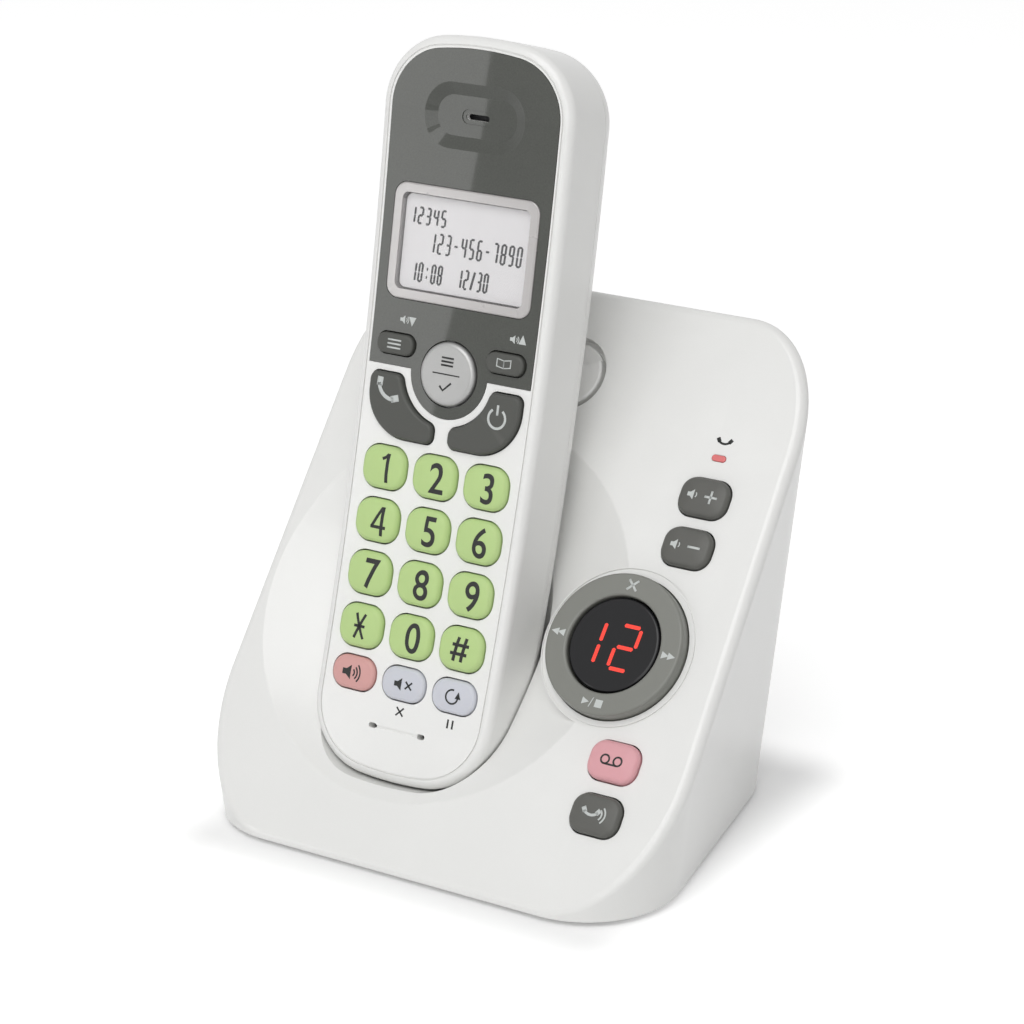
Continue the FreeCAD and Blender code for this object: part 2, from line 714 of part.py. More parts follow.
bosses += [moved(rod(size("boss_radius"), WALL, REACH / 4, x, y), BACK) for x, y in BACK_BOSSES]
bosses += [moved(rod(size("post_radius"), board_top, -WALL / 2, x, y), FACE) for x, y in BOARD_POSTS]
pilot_low = FOOT + size("screw_head_height")
pilot_high = pilot_low + size("screw_length") + GAP
pilots = [rod(size("screw_radius") + GAP / 2, FOOT, pilot_high, x, y) for x, y in FRONT_BOSSES]
pilots += [moved(rod(size("screw_radius") + GAP / 2, 0, pilot_high - FOOT, x, y), BACK)
           for x, y in BACK_BOSSES]

back_opening = moved(block(
    size("back_panel_width") + 2 * size("cover_gap"), size("back_panel_height") + size("cover_gap"),
    -1, WALL, 0, 0, (size("back_panel_height") + size("cover_gap")) / 2), BACK)

BASE_BUTTONS = [
    ("volume_up", "volume_up_station"),
    ("volume_down", "volume_down_station"),
    ("answer_button", "answer_station"),
    ("find_button", "find_station"),
]
button_holes = []
for name, station in BASE_BUTTONS:
    button_holes.append(moved(block(
        size("button_width") + 2 * size("key_gap"), size("button_height") + 2 * size("key_gap"),
        -2 * WALL, 1, size("button_corner") + size("key_gap"),
        size("button_across"), size(station)), FACE))
light_corner = size("light_height") * 0.47 + GAP
button_holes.append(moved(block(
    size("light_width") + 2 * GAP, size("light_height") + 2 * GAP, -2 * WALL, 1, light_corner,
    size("button_across"), size("light_station")), FACE))

SPRING_HALF = size("spring_width") / 2 + size("key_gap")
spring_slots = []
for side in (-1, 1):
    spring_slots.append(moved(block(
        2 * SPRING_HALF, 2 * WALL + 2 * size("end_crown"),
        -size("contact_depth") - size("spring_bend") - size("key_gap"),
        -size("contact_depth") + size("spring_bend") + size("key_gap"),
        0, side * size("contact_offset"), -cradle_gap), HANDSET))

shell = base_form.cut(base_hollow)
inner_parts = [bowl_wall, cradle_wall, island, hook_floor] + bosses
shell = fused([shell] + [piece.common(base_form) for piece in inner_parts])
shell = shell.cut(bowl_space.cut(island))
shell = shell.cut(fused([cradle_void]))
openings = [island_hollow, ring_hole, groove, hook_room, back_opening]
for space in openings + pilots + button_holes + spring_slots:
    shell = shell.cut(space)
feature("base_top_shell", shell)

cover_inset = WALL + size("cover_gap")
floor_plate = base_solid(cover_inset, FOOT).common(face_limit(cover_inset)).common(Part.makeBox(
    2 * REACH, 2 * REACH, WALL, vec(-REACH, -REACH, FOOT)))
panel_half = size("back_panel_width") / 2
back_panel = moved(block(
    2 * panel_half, size("back_panel_height") - FOOT, 0, WALL, 0, 0,
    (size("back_panel_height") + FOOT) / 2), BACK)
heel = moved(block(2 * panel_half, WALL, 0, size("base_corner_reach"), 0, 0, FOOT + WALL / 2), BACK)
cover = fused([floor_plate, back_panel, heel])
head_room = size("screw_head_radius") + GAP
holes = []
for x, y in FRONT_BOSSES:
    holes.append(rod(head_room, FOOT - 1, pilot_low, x, y))
    holes.append(rod(size("screw_radius") + GAP / 2, FOOT, pilot_high, x, y))
for x, y in BACK_BOSSES:
    holes.append(moved(rod(head_room, -1, size("screw_head_height"), x, y), BACK))
    holes.append(moved(rod(size("screw_radius") + GAP / 2, 0, 2 * WALL, x, y), BACK))
for stud in (size("keyhole_low"), size("keyhole_low") + size("keyhole_pitch")):
    entry = stud - size("keyhole_drop")
    holes.append(moved(rod(size("keyhole_entry_radius"), -1, 2 * WALL, 0, entry), BACK))
    holes.append(moved(rod(size("keyhole_slot_radius"), -1, 2 * WALL, 0, stud), BACK))
    holes.append(moved(block(
        2 * size("keyhole_slot_radius"), size("keyhole_drop"), -1, 2 * WALL, 0, 0,
        (stud + entry) / 2), BACK))
for row in (-2, -1, 0, 1, 2):
    holes.append(moved(block(
        size("grille_slot_length") - 3 * abs(row), size("grille_slot_width"), -1, 2 * WALL,
        size("grille_slot_width") * 0.49, 0, size("speaker_height") + row * size("grille_pitch")), BACK))
for side in (-1, 1):
    holes.append(moved(block(
        size("socket_width"), size("socket_height"), -1, 2 * WALL, 0,
        side * size("socket_offset"), size("socket_level")), BACK))
feature("base_bottom_cover", cover.cut(fused(holes)))


def case_screw(depth):
    """Screw with its head at height zero, pointing up."""
    head = rod(size("screw_head_radius"), 0, size("screw_head_height"))
    shank = rod(size("screw_radius"), size("screw_head_height"), size("screw_head_height") + depth)
    slot_width = size("screw_head_radius") * 1.3
    cross = fused([block(slot_width, 0.6, -1, 0.7), block(0.6, slot_width, -1, 0.7)])
    return fused([head, shank]).cut(cross)


screws = [moved(case_screw(size("screw_length")), tilted(vec(x, y, FOOT), 0)) for x, y in FRONT_BOSSES]
screws += [moved(case_screw(size("screw_length")), BACK * tilted(vec(x, y, 0), 0))
           for x, y in BACK_BOSSES]
feature("base_screws", Part.makeCompound(screws))

feet = []
foot_near = "sizes.front_foot_inset - sizes.base_depth / 2"
foot_far = "sizes.base_depth / 2 - sizes.back_foot_inset"
for number, (across, along) in enumerate([
        ("-sizes.front_foot_across", foot_near), ("sizes.front_foot_across", foot_near),
        ("-sizes.back_foot_across", foot_far), ("sizes.back_foot_across", foot_far)], start=1):
    feet.append(rod_object(
        "foot_%d" % number, "sizes.foot_radius", "sizes.foot_height", "0", across, along))
keep(fuse_object("rubber_feet_pads", feet), "rubber_feet")

# Base board with its switches; its holes are sketched on the pad
switch_high = ("sizes.base_board_depth - sizes.base_wall - 2 * sizes.fit_gap"
               " - sizes.flange_thickness - sizes.stem_length - sizes.button_travel")
board_across = "(sizes.base_board_near + sizes.base_board_far) / 2"
board_wide = "(sizes.base_board_far - sizes.base_board_near)"
board_along = "(sizes.base_board_high + sizes.base_board_low) / 2"
board_tall = "(sizes.base_board_high - sizes.base_board_low)"
under_board = "-sizes.base_board_depth"
board_pieces = [box_object(
    "board_plate", board_wide, board_tall, "sizes.base_board_thickness",
    under_board + " - sizes.base_board_thickness", board_across, board_along)]
for name, station in BASE_BUTTONS:
    board_pieces.append(box_object(
        name + "_switch", "sizes.switch_width", "sizes.switch_width", switch_high,
        under_board, "sizes.button_across", "sizes." + station))
for quarter, (across, along) in enumerate([(1, 0), (0, 1), (-1, 0), (0, -1)], start=1):
    swing = "(sizes.ring_outer_radius + sizes.ring_inner_radius) / 2"
    board_pieces.append(box_object(
        "ring_switch_%d" % quarter, "sizes.stem_radius * 2", "sizes.stem_radius * 2",
        switch_high, under_board,
        "sizes.island_across + %d * %s" % (across, swing), "%d * %s" % (along, swing)))
keep(fuse_object("base_board", board_pieces), "base_pcb", FACE)

# Ring button, its legs above the switches and its flange under the seat
ring_outer = rod_object(
    "ring_outside", "sizes.ring_outer_radius", "sizes.ring_rise + sizes.base_wall + sizes.fit_gap",
    "-(sizes.base_wall + sizes.fit_gap)")
ring_flange = rod_object(
    "ring_flange", "sizes.ring_outer_radius + sizes.key_gap + sizes.ring_flange_reach",
    "sizes.flange_thickness", "-(sizes.base_wall + sizes.fit_gap + sizes.flange_thickness)")
ring_bore = rod_object(
    "ring_bore", "sizes.ring_inner_radius", "sizes.base_board_depth * 2", "-sizes.base_board_depth")
ring_legs = []
for quarter, (across, along) in enumerate([(1, 0), (0, 1), (-1, 0), (0, -1)], start=1):
    ring_legs.append(rod_object(
        "ring_leg_%d" % quarter, "sizes.stem_radius", "sizes.stem_length + sizes.flange_thickness",
        "-(sizes.base_wall + sizes.fit_gap + sizes.flange_thickness + sizes.stem_length)",
        "%d * %s" % (across, swing), "%d * %s" % (along, swing)))
ring_stock = fuse_object("ring_stock", [ring_outer, ring_flange] + ring_legs)
ring_blank = cut_object("ring_blank", ring_stock, ring_bore)
ring_top = level_at(size("ring_rise"))
keep(rounded_object("ring_rounded", ring_blank, size("ring_edge"), ring_top), "ring_button", ISLAND)

lens = new_body("display_lens")
lens_sketch = new_sketch(lens, "lens_outline", "sizes.lens_rise - sizes.lens_thickness")
draw_circle(lens_sketch, "sizes.lens_radius")
lens_pad = pad_sketch(lens, lens_sketch, "lens_pad", "sizes.lens_thickness")
round_edges(lens, "lens_edge", lens_pad, "sizes.lens_thickness * 0.4", level_at(size("lens_rise")))
keep(lens, "display_lens", ISLAND)
plain_pad("display_module", ISLAND, draw_circle, ["sizes.lens_radius - sizes.fit_gap"], under_board,
          "sizes.base_board_depth + sizes.lens_rise - sizes.lens_thickness")

for name, station in BASE_BUTTONS:
    moulded_key(
        name, FACE * tilted(vec(size("button_across"), size(station), 0), 0), button_outline,
        "sizes.button_rise", "sizes.base_wall", "sizes.key_edge", "sizes.flange_width")
moulded_key(
    "in_use_light", FACE * tilted(vec(size("button_across"), size("light_station"), 0), 0),
    light_outline, "sizes.light_rise", "sizes.base_wall", "sizes.light_rise * 0.8",
    "sizes.flange_width")

hook = block(
    size("hook_length"), size("hook_height"), -size("hook_thickness"), 0,
    size("hook_height") / 2 - 0.05)
hook = hook.makeFillet(size("hook_edge"), [edge for edge in hook.Edges if level_at(0)(edge)])
finger_dip = rod(size("hook_dip"), -size("hook_thickness") / 2, 1,
                 size("hook_length") / 2 - size("hook_dip"), size("hook_height") / 2)
tongue = block(size("hook_height"), size("hook_slot"), -size("hook_thickness"), 0, 0,
               0, -size("hook_height") / 2 - size("hook_slot") / 2 + GAP)
feature("handset_hook", fused([hook.cut(finger_dip), tongue]),
        FACE * tilted(vec(0, size("hook_station"), 0), 0))

bend = size("spring_bend")
strip = size("spring_strip")
tip = size("contact_recess") - size("spring_gap")
foot_level = -cradle_gap - WALL - GAP / 2
springs = []
for side in (-1, 1):
    roller = tilted(vec(0, tip - bend, -size("contact_depth")), 0)
    loop = Part.makeCylinder(bend, size("spring_width"), vec(0, 0, 0), X_AXIS)
    loop = loop.cut(Part.makeCylinder(bend - strip, size("spring_width"), vec(0, 0, 0), X_AXIS))
    loop = loop.common(Part.makeBox(10, 10, 10, vec(-1, 0, -5)))
    reach = tip - bend - foot_level + strip
    legs = [Part.makeBox(size("spring_width"), reach, strip, vec(0, -reach, bend - strip)),
            Part.makeBox(size("spring_width"), reach, strip, vec(0, -reach, -bend)),
            Part.makeBox(size("spring_width"), strip, 2 * bend, vec(0, -reach, bend - strip)),
            Part.makeBox(size("spring_width"), strip, 2 * bend, vec(0, -reach, -3 * bend + strip))]
    spring = moved(fused([loop] + legs), roller)
    spring.translate(vec(side * size("contact_offset") - size("spring_width") / 2, 0, 0))
    springs.append(spring)
feature("charge_springs", Part.makeCompound(springs), HANDSET)

basket = rod(size("speaker_radius"), WALL, WALL + size("speaker_rim"), 0, size("speaker_height"))
magnet = rod(size("speaker_radius") * 0.6, WALL, WALL + size("speaker_thickness"),
             0, size("speaker_height"))
hollow = rod(size("speaker_radius") - WALL, WALL - 1, WALL + size("speaker_rim") / 2,
             0, size("speaker_height"))
feature("base_speaker", fused([basket, magnet]).cut(hollow), BACK)

jack_width = size("socket_width") + 2 * size("socket_wall")
jack_height = size("socket_height") + 2 * size("socket_wall")
jack_depth = size("socket_depth") + size("socket_wall")
for label, side in (("power_jack", -1), ("phone_jack", 1)):
    across = side * size("socket_offset")
    jack = block(jack_width, jack_height, WALL, WALL + jack_depth, 0, across, size("socket_level"))
    room = block(size("socket_width"), size("socket_height"), WALL - 1, WALL + size("socket_depth"), 0,
                 across, size("socket_level"))
    jack = jack.cut(room)
    if side < 0:
        pin = rod(size("pin_radius"), WALL + size("socket_depth") / 2, WALL + size("socket_depth"),
                  across, size("socket_level"))
        jack = fused([jack, pin])
    else:
        strips = [block(size("pin_radius"), size("pin_radius"), WALL + size("socket_depth") / 2,
                        WALL + size("socket_depth"), 0, across + lane * size("contact_lane"),
                        size("socket_level") + size("socket_height") / 2 - size("pin_radius") / 2)
                  for lane in (-1.5, -0.5, 0.5, 1.5)]
        jack = fused([jack] + strips)
    feature(label, jack, BACK)


# Handset mouldings, drawn with the handset lying on its back, Y from foot to head

def handset_plan(inset):
    crown = size("end_crown")
    foot_half = size("foot_width") / 2 - inset
    head_half = size("head_width") / 2 - inset
    waist_half = size("waist_width") / 2 - inset
    low = inset
    high = size("handset_length") - inset
    middle = size("level_station")
    foot_left = vec(-foot_half, low + crown, 0)
    foot_right = vec(foot_half, low + crown, 0)
    head_left = vec(-head_half, high - crown, 0)
    head_right = vec(head_half, high - crown, 0)
    return Part.Wire([
        Part.Arc(foot_left, vec(0, low, 0), foot_right).toShape(),
        Part.Arc(foot_right, vec(waist_half, middle, 0), head_right).toShape(),
        Part.Arc(head_right, vec(0, high, 0), head_left).toShape(),
        Part.Arc(head_left, vec(-waist_half, middle, 0), foot_left).toShape(),
    ])


def curved_layer(front, back):
    """Everything between two depths below the handset's curved face."""
    centre = vec(-REACH / 2, size("level_station"), size("face_radius"))
    outer = Part.makeCylinder(size("face_radius") + back, REACH, centre, X_AXIS)
    return outer.cut(Part.makeCylinder(size("face_radius") + front, REACH, centre, X_AXIS))


def handset_solid(inset, front, back):
    """Handset outline between two depths below its curved face."""
    middle = size("level_station")
    solid = prism(handset_plan(inset), -2 * size("handset_thickness"), size("handset_thickness"))
    foot = [edge for edge in solid.Edges if upright(edge) and edge.Vertexes[0].Point.y < middle]
    solid = solid.makeFillet(size("foot_corner") - inset, foot)
    head = [edge for edge in solid.Edges if upright(edge) and edge.Vertexes[0].Point.y > middle]
    end = size("handset_length") - 2 * size("end_crown") - inset
    sharp = [edge for edge in head if edge.Vertexes[0].Point.y > end]
    solid = solid.makeFillet(size("head_corner") - inset, sharp)
    return solid.common(curved_layer(front, back))


def rim_at(solid, depth):
    """Edges of a curved layer that lie at one depth."""
    chosen = []
    for edge in solid.Edges:
        radii = [math.hypot(vertex.Point.y - size("level_station"), vertex.Point.z - size("face_radius"))
                 for vertex in edge.Vertexes]
        if all(abs(radius - size("face_radius") - depth) < 1e-3 for radius in radii):
            chosen.append(edge)
    return chosen


SIDE_WALL = size("shell_wall")
FRONT_WALL = size("front_wall")
PARTING = size("parting_depth")
handset_form = handset_solid(0, 0, THICK)
handset_form = handset_form.makeFillet(size("back_round"), rim_at(handset_form, THICK))
handset_form = handset_form.makeFillet(size("front_round"), rim_at(handset_form, 0))
handset_hollow = handset_solid(SIDE_WALL, FRONT_WALL, THICK - SIDE_WALL)
handset_hollow = handset_hollow.makeFillet(
    size("back_round") - SIDE_WALL, rim_at(handset_hollow, THICK - SIDE_WALL))


def plain_hole(wide, tall, corner, across, station, deep=THICK / 2):
    """Opening through the handset's face, square to the face."""
    tool = block(wide, tall, -deep, 4, corner)
    return moved(tool, on_handset(across, station))


PITCH_ACROSS = size("key_pitch_across")
PITCH_ALONG = size("key_pitch_along")
KEYS = []
for row, names in enumerate([
        ("key_1", "key_2", "key_3"), ("key_4", "key_5", "key_6"),
        ("key_7", "key_8", "key_9"), ("key_star", "key_0", "key_hash")]):
    for column, name in enumerate(names, start=-1):
        station = size("key_five_station") + (1 - row) * PITCH_ALONG
        KEYS.append((name, digit_outline, column * PITCH_ACROSS, station))
for column, name in enumerate(("speaker_key", "mute_key", "redial_key"), start=-1):
    KEYS.append((name, small_outline, column * PITCH_ACROSS, size("small_key_station")))
KEYS.append(("soft_key_left", soft_outline, -size("soft_offset"), size("soft_station")))
KEYS.append(("soft_key_right", soft_outline, size("soft_offset"), size("soft_station")))
KEYS.append(("menu_button", round_outline, 0, size("menu_station")))

OUTLINE_SIZES = {
    digit_outline: (size("key_width"), size("key_height"), size("key_corner")),
    small_outline: (size("small_key_width"), size("small_key_height"), size("small_key_height") * 0.47),
    soft_outline: (size("soft_width"), size("soft_height"), size("soft_height") * 0.45),
}


def key_opening(outline, across, station):
    gap = size("key_gap")
    if outline is round_outline:
        return moved(rod(size("menu_radius") + gap, -THICK / 2, 4), on_handset(across, station))
    wide, tall, corner = OUTLINE_SIZES[outline]
    return plain_hole(wide + 2 * gap, tall + 2 * gap, corner + gap, across, station)


def call_outline(side, grow, low, high):
    """Curved call key beside the round key, its outline grown by a margin."""
    bottom = size("call_low_station") - size("menu_station") - grow
    top = size("call_high_station") - size("menu_station") + grow
    inner = side * (size("call_inner") - grow)
    outer = side * (size("call_outer") + grow)
    corners = [vec(inner, bottom, 0), vec(outer, bottom, 0), vec(outer, top, 0), vec(inner, top, 0)]
    edges = [Part.LineSegment(corners[index], corners[(index + 1) % 4]).toShape() for index in range(4)]
    solid = prism(Part.Wire(edges), low, high)
    solid = solid.cut(rod(size("call_hollow") - grow, low - 1, high + 1))
    sweep = [edge for edge in solid.Edges if upright(edge)
             and abs(edge.Vertexes[0].Point.x - outer) < 0.01 and edge.Vertexes[0].Point.y < bottom + 0.01]
    solid = solid.makeFillet(size("call_sweep") + grow, sweep)
    rest = []
    for edge in solid.Edges:
        point = edge.Vertexes[0].Point
        at_outer = abs(point.x - outer) < 0.01 and point.y > top - 0.01
        at_inner = abs(point.x - inner) < 0.01
        at_hollow = point.y > top - 0.01 and not at_outer
        if upright(edge) and (at_outer or at_inner or at_hollow):
            rest.append(edge)
    return solid.makeFillet(size("call_corner") - 0.2 + grow / 2, rest)


CALL_KEYS = [("talk_key", -1), ("off_key", 1)]
key_openings = [key_opening(outline, across, station) for name, outline, across, station in KEYS]
key_openings += [moved(call_outline(side, size("key_gap"), -THICK / 2, 4),
                       on_handset(0, size("menu_station"))) for name, side in CALL_KEYS]

# Dark panel over the head, its lower edge dipping round the round key
PANEL = size("panel_thickness")


def panel_region(margin):
    upper = Part.makeBox(
        REACH, REACH, REACH, vec(-REACH / 2, size("panel_low_station") - margin, -REACH / 2))
    dip = rod(size("collar_radius") + margin, -REACH / 2, REACH / 2, 0, size("menu_station"))
    return fused([upper, dip])


screen_seat = -PANEL - 3 * GAP
screen_hole = plain_hole(
    size("screen_width") + 2 * GAP, size("screen_height") + 2 * GAP, size("screen_corner") + GAP,
    0, size("screen_station"), -screen_seat)
window_wide = size("screen_width") - 2 * size("screen_border")
window_tall = size("screen_height") - 2 * size("screen_border")
window_corner = size("screen_corner") / 2
view_hole = plain_hole(
    window_wide, window_tall, window_corner, 0, size("screen_station"), THICK / 2)
ear_slot = plain_hole(
    size("ear_slot_length"), size("ear_slot_width"), size("ear_slot_width") * 0.49,
    0, size("ear_station"), THICK / 3)


def dish_outline(level):
    """Outline of the ear dish at so many dish depths above the face."""
    grow = level * size("ear_dish_run")
    wide = size("ear_dish_width") / 2 + grow
    tall = size("ear_dish_height") / 2 + grow
    corner = size("ear_dish_corner") + grow
    return rounded_wire([
        (-wide, -tall, corner), (wide, -tall, corner), (wide, tall, corner), (-wide, tall, corner),
    ], level * size("ear_dish_depth"))


ear_dish = moved(Part.makeLoft([dish_outline(-1), dish_outline(1)], True, True),
                 on_handset(0, size("ear_station")))
pill_wide = size("ear_slot_length") + 2 * size("ear_pill_border")
pill_tall = size("ear_slot_width") + 2 * size("ear_pill_border")
ear_pill = plain_hole(
    pill_wide, pill_tall, pill_tall * 0.49, 0, size("ear_station"),
    size("ear_dish_depth") + size("ear_pill_depth"))

panel = handset_solid(size("panel_inset"), -GAP, PANEL).common(panel_region(0))
for space in [screen_hole, ear_slot, ear_dish, ear_pill] + key_openings[-5:]:
    panel = panel.cut(space)
feature("handset_face_panel", panel, HANDSET)

mic_spread = size("mic_spread")
mic_tall = size("mic_hole_width")
mic_cuts = [plain_hole(size("mic_hole_length"), mic_tall, mic_tall * 0.49,
                       side * mic_spread, size("mic_station"), THICK / 3) for side in (-1, 1)]
mic_cuts.append(plain_hole(2 * mic_spread, mic_tall / 2, 0, 0, size("mic_station"), mic_tall / 4))
panel_seat = handset_solid(size("panel_inset") - GAP, -1, PANEL + GAP).common(panel_region(GAP))
seam_inside = size("seam_inset") + size("seam_width")
seam = handset_solid(size("seam_inset"), -1, size("seam_depth")).cut(
    handset_solid(seam_inside, -2, 2 * size("seam_depth")))

HEAD_SCREWS = [(-size("head_screw_offset"), size("head_screw_station")),
               (size("head_screw_offset"), size("head_screw_station"))]
head_split = face_height(size("head_screw_station"), PARTING)
head_top = face_height(size("head_screw_station"), FRONT_WALL)
screw_seat = face_height(size("head_screw_station"), THICK) + size("head_screw_sink")
post_low = -size("board_depth")
peg_across = size("board_width") / 2 - size("peg_side_inset")
peg_along = size("board_length") / 2 - size("peg_end_inset")
BOARD_PEGS = [(across, size("board_station") + along)
              for across in (-peg_across, peg_across) for along in (-peg_along, peg_along)]

front = handset_form.cut(handset_hollow).common(curved_layer(-REACH / 10, PARTING))
pegs = [rod(size("post_radius"), post_low, face_height(y, FRONT_WALL / 2), x, y) for x, y in BOARD_PEGS]
pegs += [rod(size("head_boss_radius"), head_split, head_top + FRONT_WALL / 2, x, y)
         for x, y in HEAD_SCREWS]
front = fused([front] + pegs)
front_cuts = [panel_seat, seam, screen_hole, view_hole, ear_slot] + mic_cuts + key_openings
front_cuts += [rod(size("head_screw_radius") + GAP / 2, head_split - 1, head_top, x, y)
               for x, y in HEAD_SCREWS]
contact_low = -size("contact_depth") - size("contact_height") / 2
for side in (-1, 1):
    front_cuts.append(block(
        size("contact_width") + 2 * GAP, 4 * SIDE_WALL, contact_low - GAP,
        contact_low + size("contact_height") + GAP, 0, side * size("contact_offset"), 0))
for space in front_cuts:
    front = front.cut(space)
feature("handset_front_shell", front, HANDSET)

# Rear moulding with the battery tray; the door slides in its outer layer
pack_middle = size("pack_low_station") + size("cell_length") / 2
door_high = size("pack_low_station") + size("cell_length") + size("tray_gap") + size("door_margin")
door_tall = door_high - size("door_low_station")
DOOR = size("door_thickness")
gap = size("key_gap")
door_seat = Part.makeBox(
    size("door_width") + 2 * gap, door_tall + size("door_travel") + 2 * gap, REACH,
    vec(-size("door_width") / 2 - gap, size("door_low_station") - size("door_travel") - gap, -REACH))
door_seat = door_seat.common(curved_layer(THICK - DOOR - 2 * GAP, THICK + REACH / 10))
tray_wide = 4 * size("cell_radius") + 2 * size("tray_gap")
tray_tall = size("cell_length") + 2 * size("tray_gap")
tray_roof = -size("cell_depth") + size("cell_radius") + size("tray_gap") / 2
TRAY = size("tray_wall")
tray_box = block(tray_wide + 2 * TRAY, tray_tall + 2 * TRAY, -THICK, tray_roof + TRAY, 0,
                 0, pack_middle)
tray_room = block(tray_wide, tray_tall, -2 * THICK, tray_roof, 0, 0, pack_middle)

rear = handset_form.cut(handset_hollow).common(curved_layer(PARTING + GAP, 2 * THICK))
sockets = [rod(size("head_boss_radius") + TRAY, -2 * THICK, head_split - GAP, x, y) for x, y in HEAD_SCREWS]
rear = fused([rear] + [piece.common(handset_form) for piece in [tray_box] + sockets])
rear_cuts = [door_seat, tray_room]
for x, y in HEAD_SCREWS:
    rear_cuts.append(rod(size("head_boss_radius"), -2 * THICK, screw_seat, x, y))
    rear_cuts.append(rod(size("head_screw_radius") + GAP / 2, -2 * THICK, head_split + 1, x, y))
for row in (-2, -1, 0, 1, 2):
    rear_cuts.append(moved(block(
        size("rear_slot_length") - 2 * abs(row), size("rear_slot_width"), -2 * THICK,
        -THICK + 2 * SIDE_WALL, size("rear_slot_width") * 0.49, 0, row * size("rear_slot_pitch")),
        on_handset(0, size("loud_station"))))
for space in rear_cuts:
    rear = rear.cut(space)
feature("handset_rear_shell", rear, HANDSET)

door = Part.makeBox(
    size("door_width"), door_tall, REACH, vec(-size("door_width") / 2, size("door_low_station"), -REACH))
door = door.common(curved_layer(THICK - DOOR, 2 * THICK)).common(handset_form)
grip_lines = [block(size("door_width") / 2, 0.8, -2 * THICK, -THICK + DOOR / 2, 0,
                    0, size("door_low_station") + 4 + 2 * row) for row in range(4)]
for line in grip_lines:
    door = door.cut(line.common(curved_layer(THICK - DOOR / 3, 2 * THICK)))
feature("battery_door", door, HANDSET)

cells = []
for side in (-1, 1):
    cell = Part.makeCylinder(
        size("cell_radius"), size("cell_length"),
        vec(side * size("cell_radius"), pack_middle - size("cell_length") / 2,
            -size("cell_depth")), Y_AXIS)
    cells.append(cell)
wrap = block(2 * size("cell_radius"), size("cell_length"), -size("cell_depth") - size("cell_radius"),
             -size("cell_depth") + size("cell_radius"), 0, 0, pack_middle)
feature("battery_pack", fused(cells + [wrap]), HANDSET)

plates = []
for end in (-1, 1):
    plates.append(block(
        tray_wide - 2 * SIDE_WALL, size("tray_gap"), -size("cell_depth") - size("cell_radius") / 2,
        -size("cell_depth") + size("cell_radius") / 2, 0, 0,
        pack_middle + end * (size("cell_length") + size("tray_gap")) / 2))
feature("battery_contacts", Part.makeCompound(plates), HANDSET)

strips = []
for side in (-1, 1):
    strips.append(block(
        size("contact_width"), size("contact_thickness"), contact_low,
        contact_low + size("contact_height"), 0, side * size("contact_offset"),
        size("contact_recess") + size("contact_thickness") / 2))
feature("charge_strips", Part.makeCompound(strips), HANDSET)

screw_length = head_split - screw_seat + size("head_boss_radius") * 2
small_screws = []
for x, y in HEAD_SCREWS:
    head = rod(size("head_boss_radius") - 2 * GAP, screw_seat - size("screw_head_height"), screw_seat, x, y)
    shank = rod(size("head_screw_radius"), screw_seat, screw_seat + screw_length, x, y)
    slot = block(size("head_boss_radius"), 0.5, screw_seat - 2, screw_seat - 0.7, 0, x, y)
    small_screws.append(fused([head, shank]).cut(slot))
feature("handset_screws", Part.makeCompound(small_screws), HANDSET)

# Boards and key mat
plain_pad("handset_pcb", HANDSET * tilted(vec(0, size("board_station"), 0), 0), draw_rectangle,
          ["sizes.board_width", "sizes.board_length"], "-(sizes.board_depth + sizes.board_thickness)",
          "sizes.board_thickness")
stem_floor = FRONT_WALL + GAP + size("flange_thickness") + size("stem_length")
dome_depth = stem_floor + size("key_travel") + 3 * GAP
mat_pieces = [block(size("mat_width"), size("mat_length"), -size("board_depth"),
                    -size("board_depth") + size("mat_thickness"), 2, 0, size("board_station"))]
call_reach = (size("call_inner") + size("call_outer")) / 2
dome_places = [(across, station) for name, outline, across, station in KEYS]
call_stem = size("call_low_station") + size("stem_inset")
dome_places += [(side * call_reach, call_stem) for name, side in CALL_KEYS]
for across, station in dome_places:
    mat_pieces.append(rod(size("dome_radius"), -size("board_depth"), face_height(station, dome_depth),
                          across, station))
feature("keypad_mat", fused(mat_pieces), HANDSET)

for name, outline, across, station in KEYS:
    edge = "sizes.key_edge" if outline is not soft_outline else "sizes.key_edge * 0.6"
    rise = "sizes.key_rise" if outline is digit_outline else "sizes.key_rise * 0.7"
    moulded_key(name, HANDSET * on_handset(across, station), outline, rise,
                "sizes.front_wall", edge, "sizes.flange_width")
for name, side in CALL_KEYS:
    flange_low = -FRONT_WALL - GAP - size("flange_thickness")
    cap = call_outline(side, 0, -FRONT_WALL - GAP, size("key_rise") * 0.8)
    cap = cap.makeFillet(size("key_edge") * 0.7,
                         [edge for edge in cap.Edges if level_at(size("key_rise") * 0.8)(edge)])
    skirt = call_outline(side, size("flange_width"), flange_low, -FRONT_WALL - GAP)
    stem = rod(size("stem_radius"), -stem_floor, flange_low, side * call_reach,
               call_stem - size("menu_station"))
    feature(name, fused([cap, skirt, stem]), HANDSET * on_handset(0, size("menu_station")))

